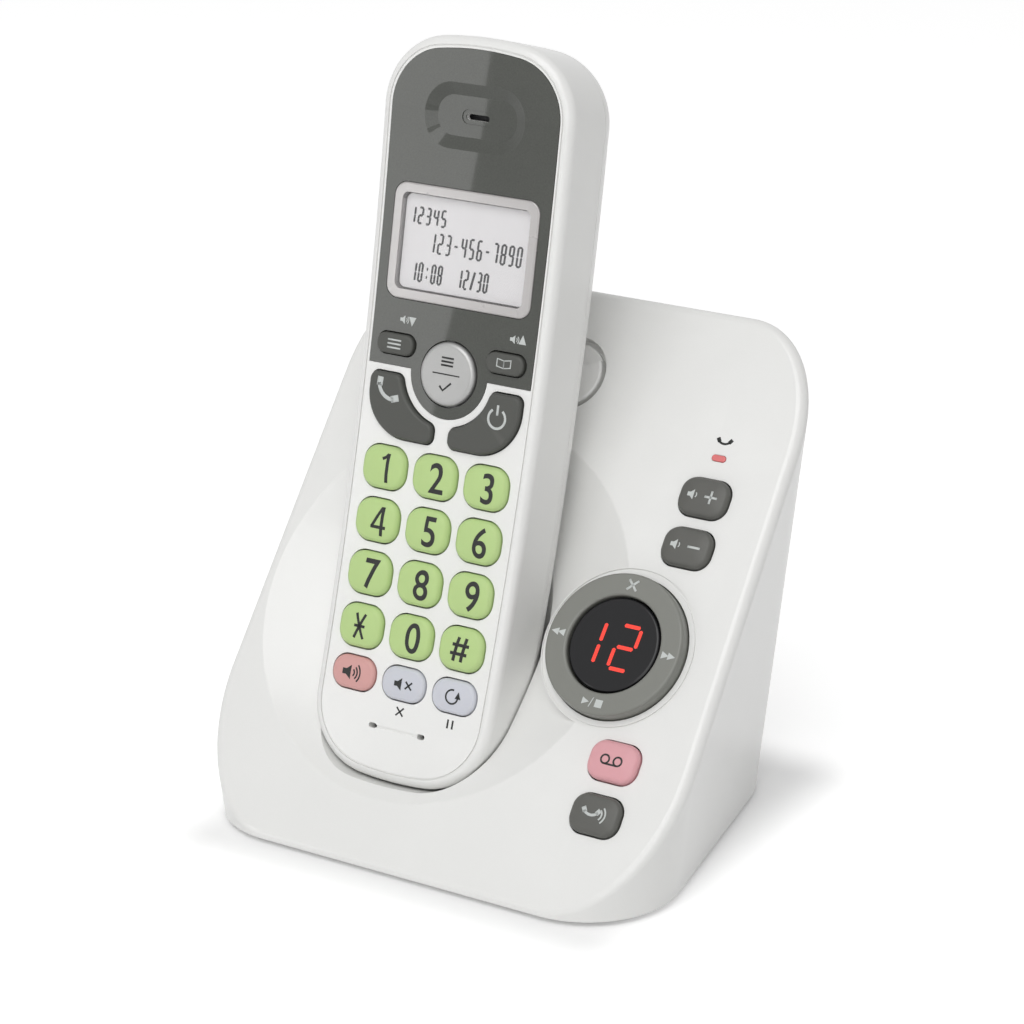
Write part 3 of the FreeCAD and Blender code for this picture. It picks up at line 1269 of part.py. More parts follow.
# Display, earpiece, speaker and microphone
seat = "-(sizes.panel_thickness + 3 * sizes.fit_gap)"
frame_body = new_body("lcd_bezel")
frame_sketch = new_sketch(frame_body, "frame_outline", seat)
draw_rectangle(frame_sketch, "sizes.screen_width", "sizes.screen_height")
frame_pad = pad_sketch(frame_body, frame_sketch, "frame_pad", "sizes.screen_rise - (%s)" % seat)
frame_round = round_edges(frame_body, "frame_corners", frame_pad, "sizes.screen_corner", upright)
frame_round = round_edges(frame_body, "frame_edge", frame_round, "sizes.screen_rise * 0.9",
                          level_at(size("screen_rise")))
opening = new_sketch(frame_body, "frame_opening", "sizes.screen_rise")
draw_rectangle(opening, "sizes.screen_width - 2 * sizes.screen_border",
               "sizes.screen_height - 2 * sizes.screen_border")
pocket = frame_body.newObject("PartDesign::Pocket", "frame_pocket")
pocket.Profile = opening
pocket.Type = "ThroughAll"
frame_body.Tip = pocket
doc.recompute()
round_edges(frame_body, "frame_inner_corners", pocket, "sizes.screen_corner / 2",
            lambda edge: upright(edge) and abs(edge.Vertexes[0].Point.x) < window_wide / 2 + 0.01
            and abs(edge.Vertexes[0].Point.y) < window_tall / 2 + 0.01)
keep(frame_body, "lcd_bezel", HANDSET * on_handset(0, size("screen_station")))

window = new_body("lcd_window")
window_seat = "-(sizes.window_sink + sizes.window_thickness)"
window_sketch = new_sketch(window, "window_outline", window_seat)
draw_rectangle(window_sketch, "sizes.screen_width - 2 * sizes.screen_border - 2 * sizes.fit_gap",
               "sizes.screen_height - 2 * sizes.screen_border - 2 * sizes.fit_gap")
window_pad = pad_sketch(window, window_sketch, "window_pad", "sizes.window_thickness")
round_edges(window, "window_corners", window_pad, "sizes.screen_corner / 2", upright)
keep(window, "lcd_window", HANDSET * on_handset(0, size("screen_station")))

module_top = "-(sizes.front_wall + sizes.fit_gap)"
module = new_body("lcd_module")
module_sketch = new_sketch(module, "module_outline", module_top + " - sizes.module_thickness")
draw_rectangle(module_sketch, "sizes.screen_width - sizes.screen_border",
               "sizes.screen_height - sizes.screen_border")
pad_sketch(module, module_sketch, "module_pad", "sizes.module_thickness")
glass_sketch = new_sketch(module, "glass_outline", module_top)
draw_rectangle(glass_sketch, "sizes.screen_width - 2 * sizes.screen_border - 2 * sizes.key_gap",
               "sizes.screen_height - 2 * sizes.screen_border - 2 * sizes.key_gap")
glass_pad = pad_sketch(module, glass_sketch, "glass_pad",
                       "sizes.front_wall - sizes.window_sink - sizes.window_thickness")
round_edges(module, "glass_corners", glass_pad, "sizes.screen_corner / 2",
            lambda edge: upright(edge) and edge.BoundBox.ZMax > -size("front_wall"))
keep(module, "lcd_module", HANDSET * on_handset(0, size("screen_station")))

ear_disc = rod_object("ear_disc", "sizes.ear_speaker_radius", "sizes.ear_speaker_thickness",
                      module_top + " - sizes.ear_speaker_thickness")
ear_room = rod_object("ear_room", "sizes.ear_speaker_radius * 0.7", "sizes.ear_speaker_thickness",
                      module_top + " - sizes.ear_speaker_thickness / 3")
keep(cut_object("ear_capsule", ear_disc, ear_room), "earpiece_speaker",
     HANDSET * on_handset(0, size("ear_station")))

loud_disc = rod_object("loud_disc", "sizes.loud_radius", "sizes.loud_rim",
                       "sizes.shell_wall + sizes.fit_gap - sizes.handset_thickness")
loud_magnet = rod_object("loud_magnet", "sizes.loud_radius * 0.6", "sizes.loud_thickness",
                         "sizes.shell_wall + sizes.fit_gap - sizes.handset_thickness")
keep(fuse_object("loud_capsule", [loud_disc, loud_magnet]), "loudspeaker",
     HANDSET * on_handset(0, size("loud_station")))

plain_pad("microphone", HANDSET * on_handset(size("mic_spread"), size("mic_station")), draw_circle,
          ["sizes.mic_radius"], module_top + " - sizes.mic_thickness", "sizes.mic_thickness")


doc.recompute()
for item in doc.Objects:
    if "Invalid" in item.State or "Error" in item.State:
        raise RuntimeError("object in error: " + item.Label)
os.makedirs("parts", exist_ok=True)
for piece in PARTS:
    if piece.Shape.isNull() or not piece.Shape.isValid():
        raise RuntimeError("bad shape: " + piece.Label)
    piece.Shape.exportStep("parts/" + piece.Label + ".step")
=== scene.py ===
import math

import bmesh
import bpy
from mathutils import Matrix, Vector


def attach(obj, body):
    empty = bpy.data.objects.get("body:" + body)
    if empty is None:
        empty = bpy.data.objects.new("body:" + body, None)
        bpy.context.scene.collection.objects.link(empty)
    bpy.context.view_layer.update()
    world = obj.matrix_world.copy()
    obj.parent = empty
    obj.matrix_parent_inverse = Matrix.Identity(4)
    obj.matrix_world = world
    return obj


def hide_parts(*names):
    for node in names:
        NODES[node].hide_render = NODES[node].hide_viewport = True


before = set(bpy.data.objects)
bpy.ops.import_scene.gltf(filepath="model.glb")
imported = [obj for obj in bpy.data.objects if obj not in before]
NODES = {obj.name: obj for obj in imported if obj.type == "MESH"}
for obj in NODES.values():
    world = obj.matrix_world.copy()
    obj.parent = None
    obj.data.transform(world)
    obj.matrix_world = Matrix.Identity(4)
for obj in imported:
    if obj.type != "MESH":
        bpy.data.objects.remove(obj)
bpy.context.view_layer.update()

# The product's lengths are in millimetres, as on a maker's drawing, and MM turns them into metres.
# The studio's sizes, near the end, are in metres where they aren't multiplied by MM.
MM = 0.001

# Frames of the base's sloping face and of the handset that stands in it
BASE_DEPTH = 87.5
FRONT_HEIGHT = 2.4
FACE_SLOPE = math.radians(51)
DISH_ACROSS = -11.5
DISH_UP_SLOPE = 57.8
DISH_CENTRE = Vector((DISH_ACROSS, DISH_UP_SLOPE * math.cos(FACE_SLOPE) - BASE_DEPTH / 2,
                      DISH_UP_SLOPE * math.sin(FACE_SLOPE) + FRONT_HEIGHT)) * MM
HANDSET_LEAN = math.radians(22)
HANDSET_FOOT = Vector((0, -38.9, -5.1)) * MM
FACE_RADIUS = 760
LEVEL_STATION = 57
FACE = Matrix.Translation(DISH_CENTRE) @ Matrix.Rotation(FACE_SLOPE, 4, "X")
HANDSET = FACE @ Matrix.Translation(HANDSET_FOOT) @ Matrix.Rotation(HANDSET_LEAN, 4, "X")


def on_face(across, along, height=0):
    """Frame on the base's sloping face, its Z along the face's normal."""
    return FACE @ Matrix.Translation(Vector((across, along, height)) * MM)


def on_handset(across, along, height=0):
    """Frame on the handset's curved face, its Z along the face's normal."""
    reach = along - LEVEL_STATION
    rise = FACE_RADIUS - math.sqrt(FACE_RADIUS ** 2 - reach ** 2)
    place = Matrix.Translation(Vector((across, along, rise)) * MM)
    turn = Matrix.Rotation(math.asin(reach / FACE_RADIUS), 4, "X")
    return HANDSET @ place @ turn @ Matrix.Translation((0, 0, height * MM))


# Shader helpers

def colour(red, green, blue):
    """Linear colour from red, green and blue shades of 0 to 255."""
    shades = []
    for value in (red, green, blue):
        share = value / 255
        shades.append(share / 12.92 if share <= 0.04045 else ((share + 0.055) / 1.055) ** 2.4)
    return (*shades, 1)


def add(nodes, kind, **settings):
    node = nodes.new(kind)
    for name, value in settings.items():
        setattr(node, name, value)
    return node


def new_group(name, inputs, outputs):
    """Empty node group with named sockets, and its two end nodes."""
    group = bpy.data.node_groups.new(name, "ShaderNodeTree")
    for label, kind, value in inputs:
        socket = group.interface.new_socket(label, in_out="INPUT", socket_type=kind)
        socket.default_value = value
    for label, kind in outputs:
        group.interface.new_socket(label, in_out="OUTPUT", socket_type=kind)
    return group, group.nodes.new("NodeGroupInput"), group.nodes.new("NodeGroupOutput")


def moulded_surface():
    """Moulded plastic: fine grain, slowly drifting roughness, faint colour drift and rubbed edges."""
    group, given, result = new_group(
        "moulded_surface",
        [("Colour", "NodeSocketColor", (0.8, 0.8, 0.8, 1)),
         ("Rubbed colour", "NodeSocketColor", (0.9, 0.9, 0.9, 1)),
         ("Grain size", "NodeSocketFloat", 0.25),
         ("Grain height", "NodeSocketFloat", 0.01),
         ("Roughness", "NodeSocketFloat", 0.35),
         ("Roughness drift", "NodeSocketFloat", 0.06),
         ("Wear", "NodeSocketFloat", 0.3),
         ("Speckle", "NodeSocketFloat", 0.03)],
        [("Colour", "NodeSocketColor"), ("Roughness", "NodeSocketFloat"),
         ("Normal", "NodeSocketVector")])
    nodes, links = group.nodes, group.links
    place = add(nodes, "ShaderNodeTexCoord")
    per_metre = add(nodes, "ShaderNodeMath", operation="DIVIDE")
    per_metre.inputs[0].default_value = 1 / MM
    links.new(given.outputs["Grain size"], per_metre.inputs[1])
    grain = add(nodes, "ShaderNodeTexNoise")
    grain.inputs["Detail"].default_value = 3
    grain.inputs["Roughness"].default_value = 0.6
    links.new(place.outputs["Object"], grain.inputs["Vector"])
    links.new(per_metre.outputs[0], grain.inputs["Scale"])
    smears = add(nodes, "ShaderNodeTexNoise")
    smears.inputs["Scale"].default_value = 42
    smears.inputs["Detail"].default_value = 5
    smears.inputs["Distortion"].default_value = 0.6
    links.new(place.outputs["Object"], smears.inputs["Vector"])
    drift = add(nodes, "ShaderNodeMath", operation="SUBTRACT")
    links.new(smears.outputs["Fac"], drift.inputs[0])
    drift.inputs[1].default_value = 0.5
    spread = add(nodes, "ShaderNodeMath", operation="MULTIPLY_ADD")
    links.new(drift.outputs[0], spread.inputs[0])
    links.new(given.outputs["Roughness drift"], spread.inputs[1])
    links.new(given.outputs["Roughness"], spread.inputs[2])
    links.new(spread.outputs[0], result.inputs["Roughness"])
    geometry = add(nodes, "ShaderNodeNewGeometry")
    ridge = add(nodes, "ShaderNodeMapRange")
    ridge.inputs["From Min"].default_value = 0.52
    ridge.inputs["From Max"].default_value = 0.62
    links.new(geometry.outputs["Pointiness"], ridge.inputs["Value"])
    rubbed = add(nodes, "ShaderNodeMath", operation="MULTIPLY")
    links.new(ridge.outputs["Result"], rubbed.inputs[0])
    links.new(given.outputs["Wear"], rubbed.inputs[1])
    patchy = add(nodes, "ShaderNodeMath", operation="MULTIPLY")
    links.new(rubbed.outputs[0], patchy.inputs[0])
    links.new(smears.outputs["Fac"], patchy.inputs[1])
    tint = add(nodes, "ShaderNodeMix", data_type="RGBA")
    links.new(patchy.outputs[0], tint.inputs["Factor"])
    links.new(given.outputs["Colour"], tint.inputs["A"])
    links.new(given.outputs["Rubbed colour"], tint.inputs["B"])
    shade = add(nodes, "ShaderNodeHueSaturation")
    lift = add(nodes, "ShaderNodeMath", operation="MULTIPLY_ADD")
    links.new(drift.outputs[0], lift.inputs[0])
    lift.inputs[1].default_value = 0.05
    lift.inputs[2].default_value = 1
    fleck = add(nodes, "ShaderNodeMath", operation="SUBTRACT")
    links.new(grain.outputs["Fac"], fleck.inputs[0])
    fleck.inputs[1].default_value = 0.5
    speckled = add(nodes, "ShaderNodeMath", operation="MULTIPLY_ADD")
    links.new(fleck.outputs[0], speckled.inputs[0])
    links.new(given.outputs["Speckle"], speckled.inputs[1])
    links.new(lift.outputs[0], speckled.inputs[2])
    links.new(speckled.outputs[0], shade.inputs["Value"])
    links.new(tint.outputs["Result"], shade.inputs["Color"])
    links.new(shade.outputs["Color"], result.inputs["Colour"])
    height = add(nodes, "ShaderNodeMath", operation="MULTIPLY")
    links.new(grain.outputs["Fac"], height.inputs[0])
    links.new(given.outputs["Grain height"], height.inputs[1])
    bump = add(nodes, "ShaderNodeBump")
    bump.inputs["Strength"].default_value = 1
    bump.inputs["Distance"].default_value = MM
    links.new(height.outputs[0], bump.inputs["Height"])
    links.new(bump.outputs["Normal"], result.inputs["Normal"])
    return group


SURFACE = moulded_surface()


def blank_material(name):
    material = bpy.data.materials.new(name)
    material.use_nodes = True
    nodes = material.node_tree.nodes
    shader = nodes["Principled BSDF"]
    return material, nodes, material.node_tree.links, shader


def plastic(name, tint, rubbed, roughness, grain=0.25, grain_height=0.01, drift=0.06, wear=0.3,
            coat=0.0, coat_roughness=0.1, metallic=0.0, subsurface=0.0, speckle=0.03, gloss=0.5):
    """Material of one moulded finish, its values placed on the shared surface group."""
    material, nodes, links, shader = blank_material(name)
    surface = add(nodes, "ShaderNodeGroup", node_tree=SURFACE)
    surface.inputs["Colour"].default_value = tint
    surface.inputs["Rubbed colour"].default_value = rubbed
    surface.inputs["Grain size"].default_value = grain
    surface.inputs["Grain height"].default_value = grain_height
    surface.inputs["Roughness"].default_value = roughness
    surface.inputs["Roughness drift"].default_value = drift
    surface.inputs["Wear"].default_value = wear
    surface.inputs["Speckle"].default_value = speckle
    links.new(surface.outputs["Colour"], shader.inputs["Base Color"])
    links.new(surface.outputs["Roughness"], shader.inputs["Roughness"])
    links.new(surface.outputs["Normal"], shader.inputs["Normal"])
    shader.inputs["Metallic"].default_value = metallic
    shader.inputs["Specular IOR Level"].default_value = gloss
    shader.inputs["Coat Weight"].default_value = coat
    shader.inputs["Coat Roughness"].default_value = coat_roughness
    if subsurface:
        shader.inputs["Subsurface Weight"].default_value = subsurface
        shader.inputs["Subsurface Radius"].default_value = (0.6, 0.5, 0.4)
        shader.inputs["Subsurface Scale"].default_value = MM
    return material


# Finishes of the product's own parts

RUB_WHITE = colour(246, 246, 244)
housing_white = plastic("housing_white", colour(234, 234, 232), RUB_WHITE, 0.3, 0.35, 0.006, coat=0.25)
key_green = plastic("key_green", colour(186, 212, 142), colour(204, 226, 168), 0.5, 0.2, 0.02,
                    subsurface=0.15)
key_salmon = plastic("key_salmon", colour(214, 162, 158), colour(228, 184, 180), 0.5, 0.2, 0.02,
                     subsurface=0.15)
key_grey = plastic("key_grey", colour(206, 208, 216), colour(224, 226, 232), 0.5, 0.2, 0.02,
                   subsurface=0.15)
key_dark = plastic("key_dark", colour(72, 73, 69), colour(106, 107, 102), 0.5, 0.2, 0.012)
button_dark = plastic("button_dark", colour(86, 86, 82), colour(128, 129, 124), 0.45, 0.2, 0.012)
button_pink = plastic("button_pink", colour(220, 162, 168), colour(232, 188, 192), 0.45, 0.2, 0.015,
                      subsurface=0.1)
ring_paint = plastic("ring_paint", colour(122, 123, 117), colour(150, 151, 146), 0.4, 0.15, 0.008,
                     coat=0.2, coat_roughness=0.25)
panel_paint = plastic("panel_paint", colour(66, 68, 63), colour(88, 90, 84), 0.35, 0.32, 0.003,
                      coat=0.6, coat_roughness=0.02, speckle=0.6, gloss=0.2)
bezel_silver = plastic("bezel_silver", colour(166, 163, 162), colour(226, 224, 224), 0.28, 0.2, 0.004,
                       coat=0.6, coat_roughness=0.08, metallic=0.35, speckle=0.08)
round_key_silver = plastic("round_key_silver", colour(168, 168, 167), colour(212, 212, 210), 0.4, 0.1,
                           0.012, metallic=0.7, speckle=0.2)
lcd_grey = plastic("lcd_grey", colour(228, 226, 227), colour(240, 238, 240), 0.5, 0.3, 0.002, wear=0)
lcd_ink = plastic("lcd_ink", colour(18, 18, 20), colour(30, 30, 32), 0.6, 0.2, 0.002, wear=0)
print_black = plastic("print_black", colour(20, 22, 20), colour(44, 46, 44), 0.55, 0.1, 0.004, wear=0.2)
print_light = plastic("print_light", colour(196, 200, 198), colour(214, 216, 214), 0.4, 0.1, 0.004,
                      wear=0.2)
lens_black = plastic("lens_black", colour(14, 14, 17), colour(30, 30, 34), 0.3, 0.3, 0.001, wear=0.2,
                     coat=0.4, coat_roughness=0.03, gloss=0.15)
module_black = plastic("module_black", colour(24, 24, 26), colour(46, 46, 48), 0.5, 0.3, 0.01)
speaker_black = plastic("speaker_black", colour(34, 34, 36), colour(60, 60, 62), 0.6, 0.2, 0.03)
socket_black = plastic("socket_black", colour(30, 30, 32), colour(62, 62, 64), 0.5, 0.2, 0.02)
board_green = plastic("board_green", colour(40, 92, 60), colour(96, 130, 96), 0.4, 0.4, 0.01)
mat_rubber = plastic("mat_rubber", colour(206, 206, 204), colour(220, 220, 218), 0.7, 0.15, 0.03)
foot_rubber = plastic("foot_rubber", colour(62, 62, 62), colour(90, 90, 90), 0.8, 0.15, 0.04)
battery_wrap = plastic("battery_wrap", colour(64, 88, 142), colour(110, 130, 170), 0.3, 0.3, 0.004,
                       coat=0.4)
spring_steel = plastic("spring_steel", colour(196, 192, 182), colour(220, 216, 206), 0.28, 0.08, 0.006,
                       metallic=1.0)
screw_steel = plastic("screw_steel", colour(150, 150, 152), colour(190, 190, 190), 0.32, 0.08, 0.01,
                      metallic=1.0)
lamp_red = plastic("lamp_red", colour(222, 112, 112), colour(240, 140, 136), 0.25, 0.4, 0.004, coat=0.6)


def uneven_light():
    """Glow of a lit bar, a little uneven along it."""
    group, given, result = new_group(
        "uneven_light", [("Colour", "NodeSocketColor", (1, 0.1, 0.1, 1))],
        [("Glow", "NodeSocketColor"), ("Roughness", "NodeSocketFloat")])
    nodes, links = group.nodes, group.links
    place = add(nodes, "ShaderNodeTexCoord")
    cloud = add(nodes, "ShaderNodeTexNoise")
    cloud.inputs["Scale"].default_value = 900
    cloud.inputs["Detail"].default_value = 2
    links.new(place.outputs["Object"], cloud.inputs["Vector"])
    lift = add(nodes, "ShaderNodeMapRange")
    lift.inputs["To Min"].default_value = 0.82
    lift.inputs["To Max"].default_value = 1.12
    links.new(cloud.outputs["Fac"], lift.inputs["Value"])
    shade = add(nodes, "ShaderNodeHueSaturation")
    links.new(lift.outputs["Result"], shade.inputs["Value"])
    links.new(given.outputs["Colour"], shade.inputs["Color"])
    links.new(shade.outputs["Color"], result.inputs["Glow"])
    rough = add(nodes, "ShaderNodeMapRange")
    rough.inputs["To Min"].default_value = 0.3
    rough.inputs["To Max"].default_value = 0.5
    links.new(cloud.outputs["Fac"], rough.inputs["Value"])
    links.new(rough.outputs["Result"], result.inputs["Roughness"])
    return group


def glowing(name, tint, strength):
    material, nodes, links, shader = blank_material(name)
    glow = add(nodes, "ShaderNodeGroup", node_tree=uneven_light())
    glow.inputs["Colour"].default_value = tint
    links.new(glow.outputs["Glow"], shader.inputs["Base Color"])
    links.new(glow.outputs["Glow"], shader.inputs["Emission Color"])
    links.new(glow.outputs["Roughness"], shader.inputs["Roughness"])
    shader.inputs["Emission Strength"].default_value = strength
    return material


digit_red = glowing("digit_red", colour(226, 56, 42), 0.55)


def faint_smears():
    """Handling marks on clear plastic: its haze, its gloss and its height vary a little."""
    group, given, result = new_group(
        "faint_smears", [("Roughness", "NodeSocketFloat", 0.05), ("Haze", "NodeSocketFloat", 0.06)],
        [("Roughness", "NodeSocketFloat"), ("Haze", "NodeSocketFloat"), ("Normal", "NodeSocketVector")])
    nodes, links = group.nodes, group.links
    place = add(nodes, "ShaderNodeTexCoord")
    marks = add(nodes, "ShaderNodeTexNoise")
    marks.inputs["Scale"].default_value = 90
    marks.inputs["Detail"].default_value = 4
    marks.inputs["Distortion"].default_value = 0.8
    links.new(place.outputs["Object"], marks.inputs["Vector"])
    for label, share in (("Roughness", 1.6), ("Haze", 1.0)):
        vary = add(nodes, "ShaderNodeMath", operation="MULTIPLY_ADD")
        links.new(marks.outputs["Fac"], vary.inputs[0])
        scaled = add(nodes, "ShaderNodeMath", operation="MULTIPLY")
        links.new(given.outputs[label], scaled.inputs[0])
        scaled.inputs[1].default_value = share
        links.new(scaled.outputs[0], vary.inputs[1])
        links.new(given.outputs[label], vary.inputs[2])
        links.new(vary.outputs[0], result.inputs[label])
    bump = add(nodes, "ShaderNodeBump")
    bump.inputs["Distance"].default_value = 0.004 * MM
    links.new(marks.outputs["Fac"], bump.inputs["Height"])
    links.new(bump.outputs["Normal"], result.inputs["Normal"])
    return group


def clear_plastic(name):
    material, nodes, links, shader = blank_material(name)
    smears = add(nodes, "ShaderNodeGroup", node_tree=faint_smears())
    smears.inputs["Roughness"].default_value = 0.03
    smears.inputs["Haze"].default_value = 0.04
    links.new(smears.outputs["Roughness"], shader.inputs["Roughness"])
    links.new(smears.outputs["Haze"], shader.inputs["Alpha"])
    links.new(smears.outputs["Normal"], shader.inputs["Normal"])
    shader.inputs["Base Color"].default_value = colour(240, 240, 242)
    shader.inputs["Coat Weight"].default_value = 0.5
    shader.inputs["Coat Roughness"].default_value = 0.02
    return material


window_clear = clear_plastic("window_clear")

FINISHES = {
    "handset_front_shell": housing_white, "handset_rear_shell": housing_white,
    "battery_door": housing_white, "base_top_shell": housing_white,
    "base_bottom_cover": housing_white, "handset_hook": housing_white,
    "handset_face_panel": panel_paint, "lcd_bezel": bezel_silver, "lcd_window": window_clear,
    "lcd_module": lcd_grey, "handset_pcb": board_green, "base_pcb": board_green,
    "keypad_mat": mat_rubber, "earpiece_speaker": speaker_black, "loudspeaker": speaker_black,
    "microphone": speaker_black, "base_speaker": speaker_black, "battery_pack": battery_wrap,
    "battery_contacts": spring_steel, "charge_strips": spring_steel,
    "charge_springs": spring_steel, "handset_screws": screw_steel, "base_screws": screw_steel,
    "talk_key": key_dark, "off_key": key_dark, "soft_key_left": key_dark,
    "soft_key_right": key_dark, "menu_button": round_key_silver, "ring_button": ring_paint,
    "display_lens": lens_black, "display_module": module_black,
    "in_use_light": lamp_red, "rubber_feet": foot_rubber, "power_jack": socket_black,
    "phone_jack": socket_black,
}
for label, material in FINISHES.items():
    NODES[label].data.materials.clear()
    NODES[label].data.materials.append(material)

# Modelling helpers

def only(piece):
    """Make one piece the whole selection."""
    bpy.ops.object.select_all(action="DESELECT")
    piece.select_set(True)
    bpy.context.view_layer.objects.active = piece
    return piece


def edit(piece, mode, kind, test):
    """Enter edit mode with the edges or faces selected that pass a test."""
    only(piece)
    bpy.ops.object.mode_set(mode="EDIT")
    bpy.ops.mesh.select_mode(type=mode)
    bpy.ops.mesh.select_all(action="DESELECT")
    form = bmesh.from_edit_mesh(piece.data)
    for part in getattr(form, kind):
        if test(part):
            part.select_set(True)
    form.select_flush_mode()
    bmesh.update_edit_mesh(piece.data)


def leave_edit():
    bpy.ops.object.mode_set(mode="OBJECT")


def apply_modifier(piece, kind, **settings):
    only(piece)
    change = piece.modifiers.new(kind.lower(), kind)
    for name, value in settings.items():
        setattr(change, name, value)
    bpy.ops.object.modifier_apply(modifier=change.name)


def settle(piece, place):
    """Move a piece to its place on the product, in its mesh."""
    only(piece)
    piece.matrix_world = place
    bpy.ops.object.transform_apply(location=True, rotation=True, scale=True)


def copy_of(piece, name):
    twin = piece.copy()
    twin.data = piece.data.copy()
    twin.name = name
    bpy.context.scene.collection.objects.link(twin)
    return twin


def joined(pieces, name):
    bpy.ops.object.select_all(action="DESELECT")
    for piece in pieces:
        piece.select_set(True)
    bpy.context.view_layer.objects.active = pieces[0]
    if len(pieces) > 1:
        bpy.ops.object.join()
    pieces[0].name = name
    return pieces[0]


TINY = 1e-6

# A cap reaches this far below the face that it stands on.
CAP_FOOT = 1.8


def key_cap(name, width, length, corner, rise, edge, crown):
    """Key cap with round corners, a round upper edge and a crowned top; its foot is in the housing."""
    low, high = -CAP_FOOT * MM, (rise - crown) * MM
    bpy.ops.object.select_all(action="DESELECT")
    bpy.ops.mesh.primitive_cube_add(
        size=1, location=(0, 0, (low + high) / 2), scale=(width * MM, length * MM, high - low))
    cap = bpy.context.active_object
    cap.name = name
    bpy.ops.object.transform_apply(location=True, rotation=True, scale=True)
    edit(cap, "EDGE", "edges", lambda side: abs(side.verts[0].co.z - side.verts[1].co.z) > TINY)
    bpy.ops.mesh.bevel(offset=corner * MM, segments=8, affect="EDGES", clamp_overlap=False)
    leave_edit()
    edit(cap, "EDGE", "edges", lambda side: min(end.co.z for end in side.verts) > high - TINY)
    bpy.ops.mesh.bevel(offset=edge * MM, segments=6, affect="EDGES", clamp_overlap=False)
    leave_edit()
    edit(cap, "FACE", "faces", lambda face: min(end.co.z for end in face.verts) > high - TINY)
    bpy.ops.mesh.inset(thickness=(corner - edge) * 0.45 * MM, depth=crown * 0.62 * MM)
    bpy.ops.mesh.inset(thickness=(corner - edge) * 0.4 * MM, depth=crown * 0.38 * MM)
    leave_edit()
    only(cap)
    bpy.ops.object.shade_smooth_by_angle(angle=math.radians(50))
    return cap


def flat_curve(points, closed):
    curve = bpy.data.curves.new("flat", "CURVE")
    spline = curve.splines.new("POLY")
    spline.points.add(len(points) - 1)
    for knot, (across, along) in zip(spline.points, points):
        knot.co = (across * MM, along * MM, 0, 1)
    spline.use_cyclic_u = closed
    flat = bpy.data.objects.new("flat", curve)
    bpy.context.scene.collection.objects.link(flat)
    return flat, curve, spline


def ribbon(points, width, closed=False):
    """Flat printed stroke along a line of points."""
    flat, curve, spline = flat_curve(points, closed)
    curve.dimensions = "3D"
    curve.extrude = width / 2 * MM
    for knot in spline.points:
        knot.tilt = math.pi / 2
    only(flat)
    bpy.ops.object.convert(target="MESH")
    return flat


def patch(points):
    """Flat printed area inside a line of points."""
    flat, curve, spline = flat_curve(points, True)
    curve.dimensions = "2D"
    curve.fill_mode = "BOTH"
    only(flat)
    bpy.ops.object.convert(target="MESH")
    return flat


def arc(across, along, radius, start, end, steps=12):
    """Points along a round stretch, its angles in degrees."""
    points = []
    for step in range(steps + 1):
        angle = math.radians(start + (end - start) * step / steps)
        points.append((across + radius * math.cos(angle), along + radius * math.sin(angle)))
    return points


def numeral(text, tall, narrow, weight):
    """Flat figure of one height, its middle at the origin."""
    bpy.ops.object.select_all(action="DESELECT")
    bpy.ops.object.text_add()
    sign = bpy.context.active_object
    sign.data.body = text
    sign.data.offset = weight
    bpy.ops.object.convert(target="MESH")
    corners = [Vector(corner) for corner in sign.bound_box]
    low = Vector([min(corner[axis] for corner in corners) for axis in range(3)])
    high = Vector([max(corner[axis] for corner in corners) for axis in range(3)])
    stretch = tall * MM / (high.y - low.y)
    sign.data.transform(Matrix.Diagonal((stretch * narrow, stretch, 1, 1))
                        @ Matrix.Translation(-(low + high) / 2))
    return sign


# Bars of a seven-bar figure, lettered clockwise from the top, the middle one last
BARS = {"a": (0, 1, True), "b": (1, 0.5, False), "c": (1, -0.5, False), "d": (0, -1, True),
        "e": (-1, -0.5, False), "f": (-1, 0.5, False), "g": (0, 0, True)}
LIT = {"0": "abcdef", "1": "bc", "2": "abged", "3": "abgcd", "4": "fgbc", "5": "afgcd",
       "6": "afgedc", "7": "abc", "8": "abcdefg", "9": "abfgcd", "-": "g"}
COLON_HEIGHT = 0.45


def one_bar(length, width):
    """Flat bar with pointed ends."""
    bpy.ops.object.select_all(action="DESELECT")
    bpy.ops.mesh.primitive_circle_add(vertices=6, radius=width / 2 * MM, fill_type="NGON")
    bar = bpy.context.active_object
    for side in (-1, 1):
        edit(bar, "VERT", "verts", lambda corner: corner.co.y * side > TINY)
        bpy.ops.transform.translate(value=(0, side * (length - width) / 2 * MM, 0))
        leave_edit()
    return bar


